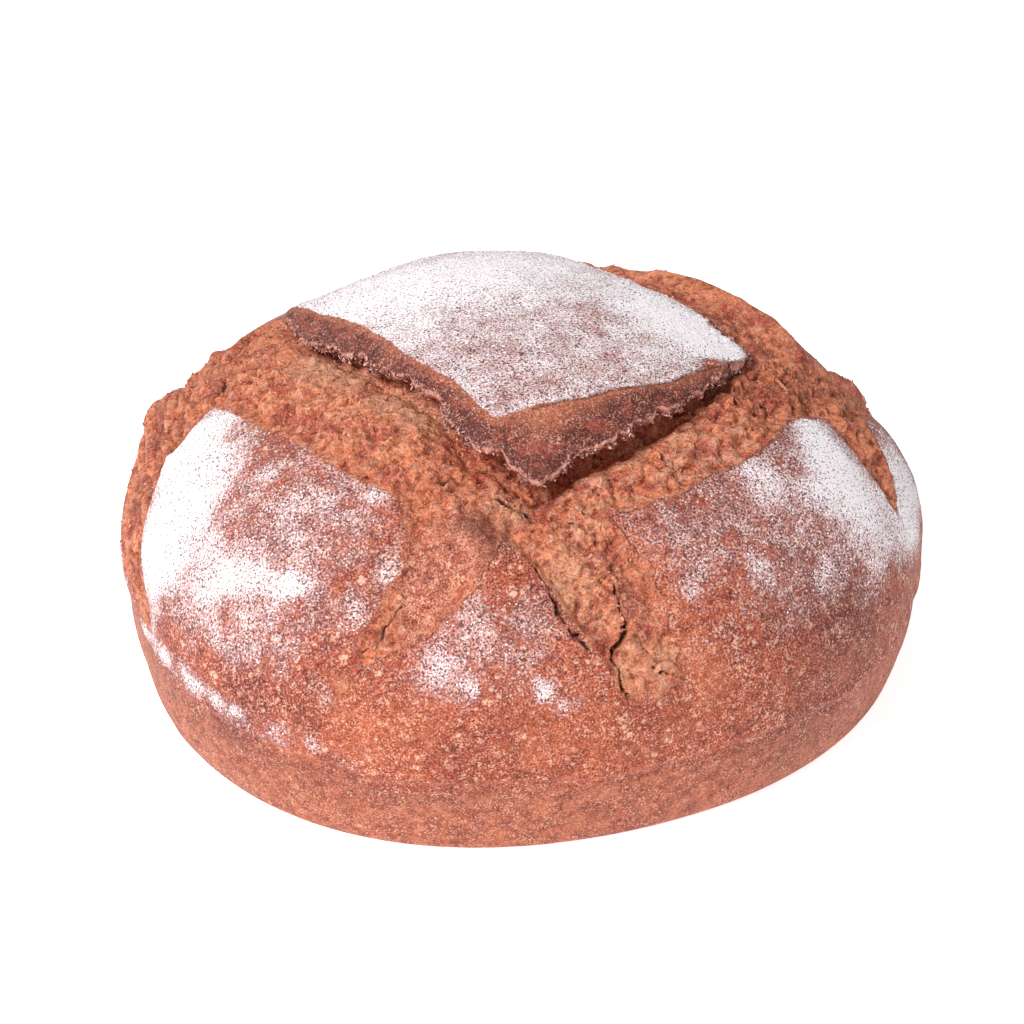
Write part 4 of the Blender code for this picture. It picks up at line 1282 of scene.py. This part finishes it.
def cornersOf(target):  # the vertex at each corner of each face
    corners = np.empty(len(target.data.loops), np.int32)
    target.data.loops.foreach_get("vertex_index", corners)
    return corners


def maskOf(target, name):
    values = np.empty(len(target.data.vertices), np.float32)
    target.data.attributes[name].data.foreach_get("value", values)
    return values


def onFaces(target, name):  # a vertex mask's value on each face, read at the face's first corner
    starts = np.empty(len(target.data.polygons), np.int32)
    target.data.polygons.foreach_get("loop_start", starts)
    return maskOf(target, name)[cornersOf(target)[starts]]


def standingOn(normals, draw, tilt):  # for each copy, its along, across and up directions
    turn = draw.uniform(0, 2 * np.pi, len(normals))[:, None]
    helper = np.where(np.abs(normals[:, 2:]) < 0.9, (0.0, 0.0, 1.0), (1.0, 0.0, 0.0))
    side = unit(np.cross(helper, normals))
    along = side * np.cos(turn) + np.cross(normals, side) * np.sin(turn)
    lean = draw.uniform(*tilt, len(normals))[:, None]
    return (along * np.cos(lean) + normals * np.sin(lean), np.cross(normals, along),
            normals * np.cos(lean) - along * np.sin(lean))


def joinCopies(settings, shapes, faces, tones):  # one piece from many copies, shapes holds their points
    name = settings["name"]
    count, size = shapes.shape[:2]
    mesh = bpy.data.meshes.new(name)
    copied = [tuple(size * copy + corner for corner in face) for copy in range(count) for face in faces]
    mesh.from_pydata(shapes.reshape(-1, 3).tolist(), [], copied)
    made = bpy.data.objects.new(name, mesh)
    bpy.context.scene.collection.objects.link(made)
    paint(made, "tone", np.repeat(tones, size))
    mesh.shade_smooth()
    made.data.materials.append(makeCrumbFinish(settings))
    print(name, "made,", len(mesh.polygons), "faces")
    return made


def placeCopies(model, places, frames, sizes):
    along, across, up = frames
    scaled = model[None] * sizes[:, None, :]
    return (places[:, None] + scaled[..., :1] * along[:, None] + scaled[..., 1:2] * across[:, None]
            + scaled[..., 2:] * up[:, None])


def flakesOn(settings, places, normals, draw):  # flakes bent into arcs along their length
    model, faces = shredModel()
    count = settings["count"]
    length = draw.uniform(*settings["length"], count)
    width = draw.uniform(*settings["width"], count)
    sizes = np.stack([length, width, np.full(count, settings["thickness"])], axis=1)
    frames = standingOn(normals, draw, settings["tilt"])
    bend = (draw.uniform(*settings["curl"], count) * length)[:, None] * model[:, 0] ** 2
    shapes = placeCopies(model, places, frames, sizes) + bend[..., None] * frames[2][:, None] * 1.5
    return joinCopies(settings, shapes, faces, draw.random(count))


def makeLipCrumbs(plate):
    settings = lipCrumbs
    draw = np.random.default_rng(settings["seed"])
    corners = np.sort(cornersOf(plate).reshape(-1, 4), axis=1)
    rim, front = (maskOf(plate, name)[corners[:, 0]] for name in ("rim", "front"))
    clumped = np.clip(0.25 + 2.2 * waves(faceCentres(plate), 4 * mm, 1.1), 0.05, 1)
    weights = (rim < 0.9) * front * (0.3 + front) * clumped
    places, normals = chooseFaces(plate, weights, settings["count"], draw, np.lexsort(corners.T))
    places += draw.normal(0, settings["spread"], places.shape) * (1, 1, 0.6)
    places[:, 2] -= settings["below"] * draw.random(len(places)) ** 3
    return flakesOn(settings, places, normals, draw)


def makeTornShreds(body):
    settings = tornShreds
    draw = np.random.default_rng(settings["seed"])
    torn = (onFaces(body, "edge") > 0.5) * onFaces(body, "fade") * (1 - onFaces(body, "roll"))
    torn = torn * (onFaces(body, "stretched") < 0.3)
    raised = np.clip(0.6 + onFaces(body, "peak"), 0.05, 2)
    places, normals = chooseFaces(body, torn * raised, settings["count"], draw)
    return flakesOn(settings, places, normals, draw)


def makeFlourClumps(body, plate):
    settings = flourClumps
    draw = np.random.default_rng(settings["seed"])
    model, faces = crumbModel()
    made = []
    for target, share, outside in ((body, 0.6, "edge"), (plate, 0.4, "border")):
        count = int(settings["count"] * share)
        weights = (onFaces(target, outside) < -0.4) * np.clip(onFaces(target, "flour") - 0.15, 0, 1)
        if target is plate:
            weights = weights * (onFaces(target, "under") < 0.5)
        places, normals = chooseFaces(target, weights, count, draw)
        sizes = draw.uniform(*settings["size"], (count, 3)) * (1.0, 1.0, 0.7)
        made.append(placeCopies(model, places, standingOn(normals, draw, settings["tilt"]), sizes))
    shapes = np.concatenate(made)
    return joinCopies(settings, shapes, faces, draw.random(len(shapes)))


def makeDoughStrands(seat):
    settings = doughStrands
    draw = np.random.default_rng(settings["seed"])
    count = settings["count"]
    model, faces = strandModel(settings["widths"])
    first, last = np.array(settings["from"]) * mm
    share = np.sort(draw.random(count))[:, None]
    stray = settings["stray"]
    starts = first + (last - first) * share + draw.normal(0, stray[0], (count, 2))
    ends = starts + np.array(settings["reach"]) * mm + draw.normal(0, stray[1], (count, 2))
    sunk = settings["sunk"]
    starts, ends = (seat(onLoaf(points, bodyRelief(points)[0] - sunk)) for points in (starts, ends))
    along = model[:, 2]
    arch = np.sin(np.pi * along)[:, None]
    shapes = []
    for start, end in zip(starts, ends):
        rise = settings["rise"] * draw.uniform(0.5, 1.2)
        sway = draw.normal(0, stray[2], 3)
        middle = start + (end - start) * along[:, None] + arch * (sway + np.array((0, 0, rise)))
        ahead = unit(end - start)
        side = unit(np.cross(ahead, (0, 0, 1.0)))
        up = np.cross(side, ahead)
        wide = draw.uniform(*settings["radius"])
        shapes.append(middle + wide * (model[:, :1] * side * draw.uniform(0.7, 1.8) + model[:, 1:2] * up))
    return joinCopies(settings, np.array(shapes), faces, draw.random(count))


body = makeBody()
body.data.materials.append(makeCrustFinish())
plate = makeMiddlePlate()
plate.data.materials.append(makePlateFinish())


def seatingIn(made):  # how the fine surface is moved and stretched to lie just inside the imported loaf's box
    margin = np.array((0.35, 0.35, 0.25)) * mm
    points = np.concatenate([vertexPlaces(piece) for piece in made])
    low, high = points.min(axis=0), points.max(axis=0)
    low[2] += loafForm["baseTrim"]
    share = np.minimum(1.0, (cadHigh - cadLow - margin * (2, 2, 1)) / (high - low))
    print("seating: stretched by", share.round(4).tolist(), "from", ((low + high) / 2 / mm).round(2).tolist())

    def seat(places):
        moved = (places - (low + high) / 2) * share
        moved[:, :2] += ((cadLow + cadHigh) / 2)[:2]
        moved[:, 2] += cadLow[2] + (high[2] - low[2]) / 2 * share[2]
        moved[:, 2] = np.maximum(moved[:, 2], cadLow[2])
        return moved

    return seat


seat = seatingIn([body, plate])
for piece in (body, plate):
    setPlaces(piece, seat(vertexPlaces(piece)))
pieces = [body, plate, makeLipCrumbs(plate), makeTornShreds(body)]
pieces += [makeFlourClumps(body, plate), makeDoughStrands(seat)]
for piece in pieces:
    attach(piece, "root")
    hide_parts("loaf")
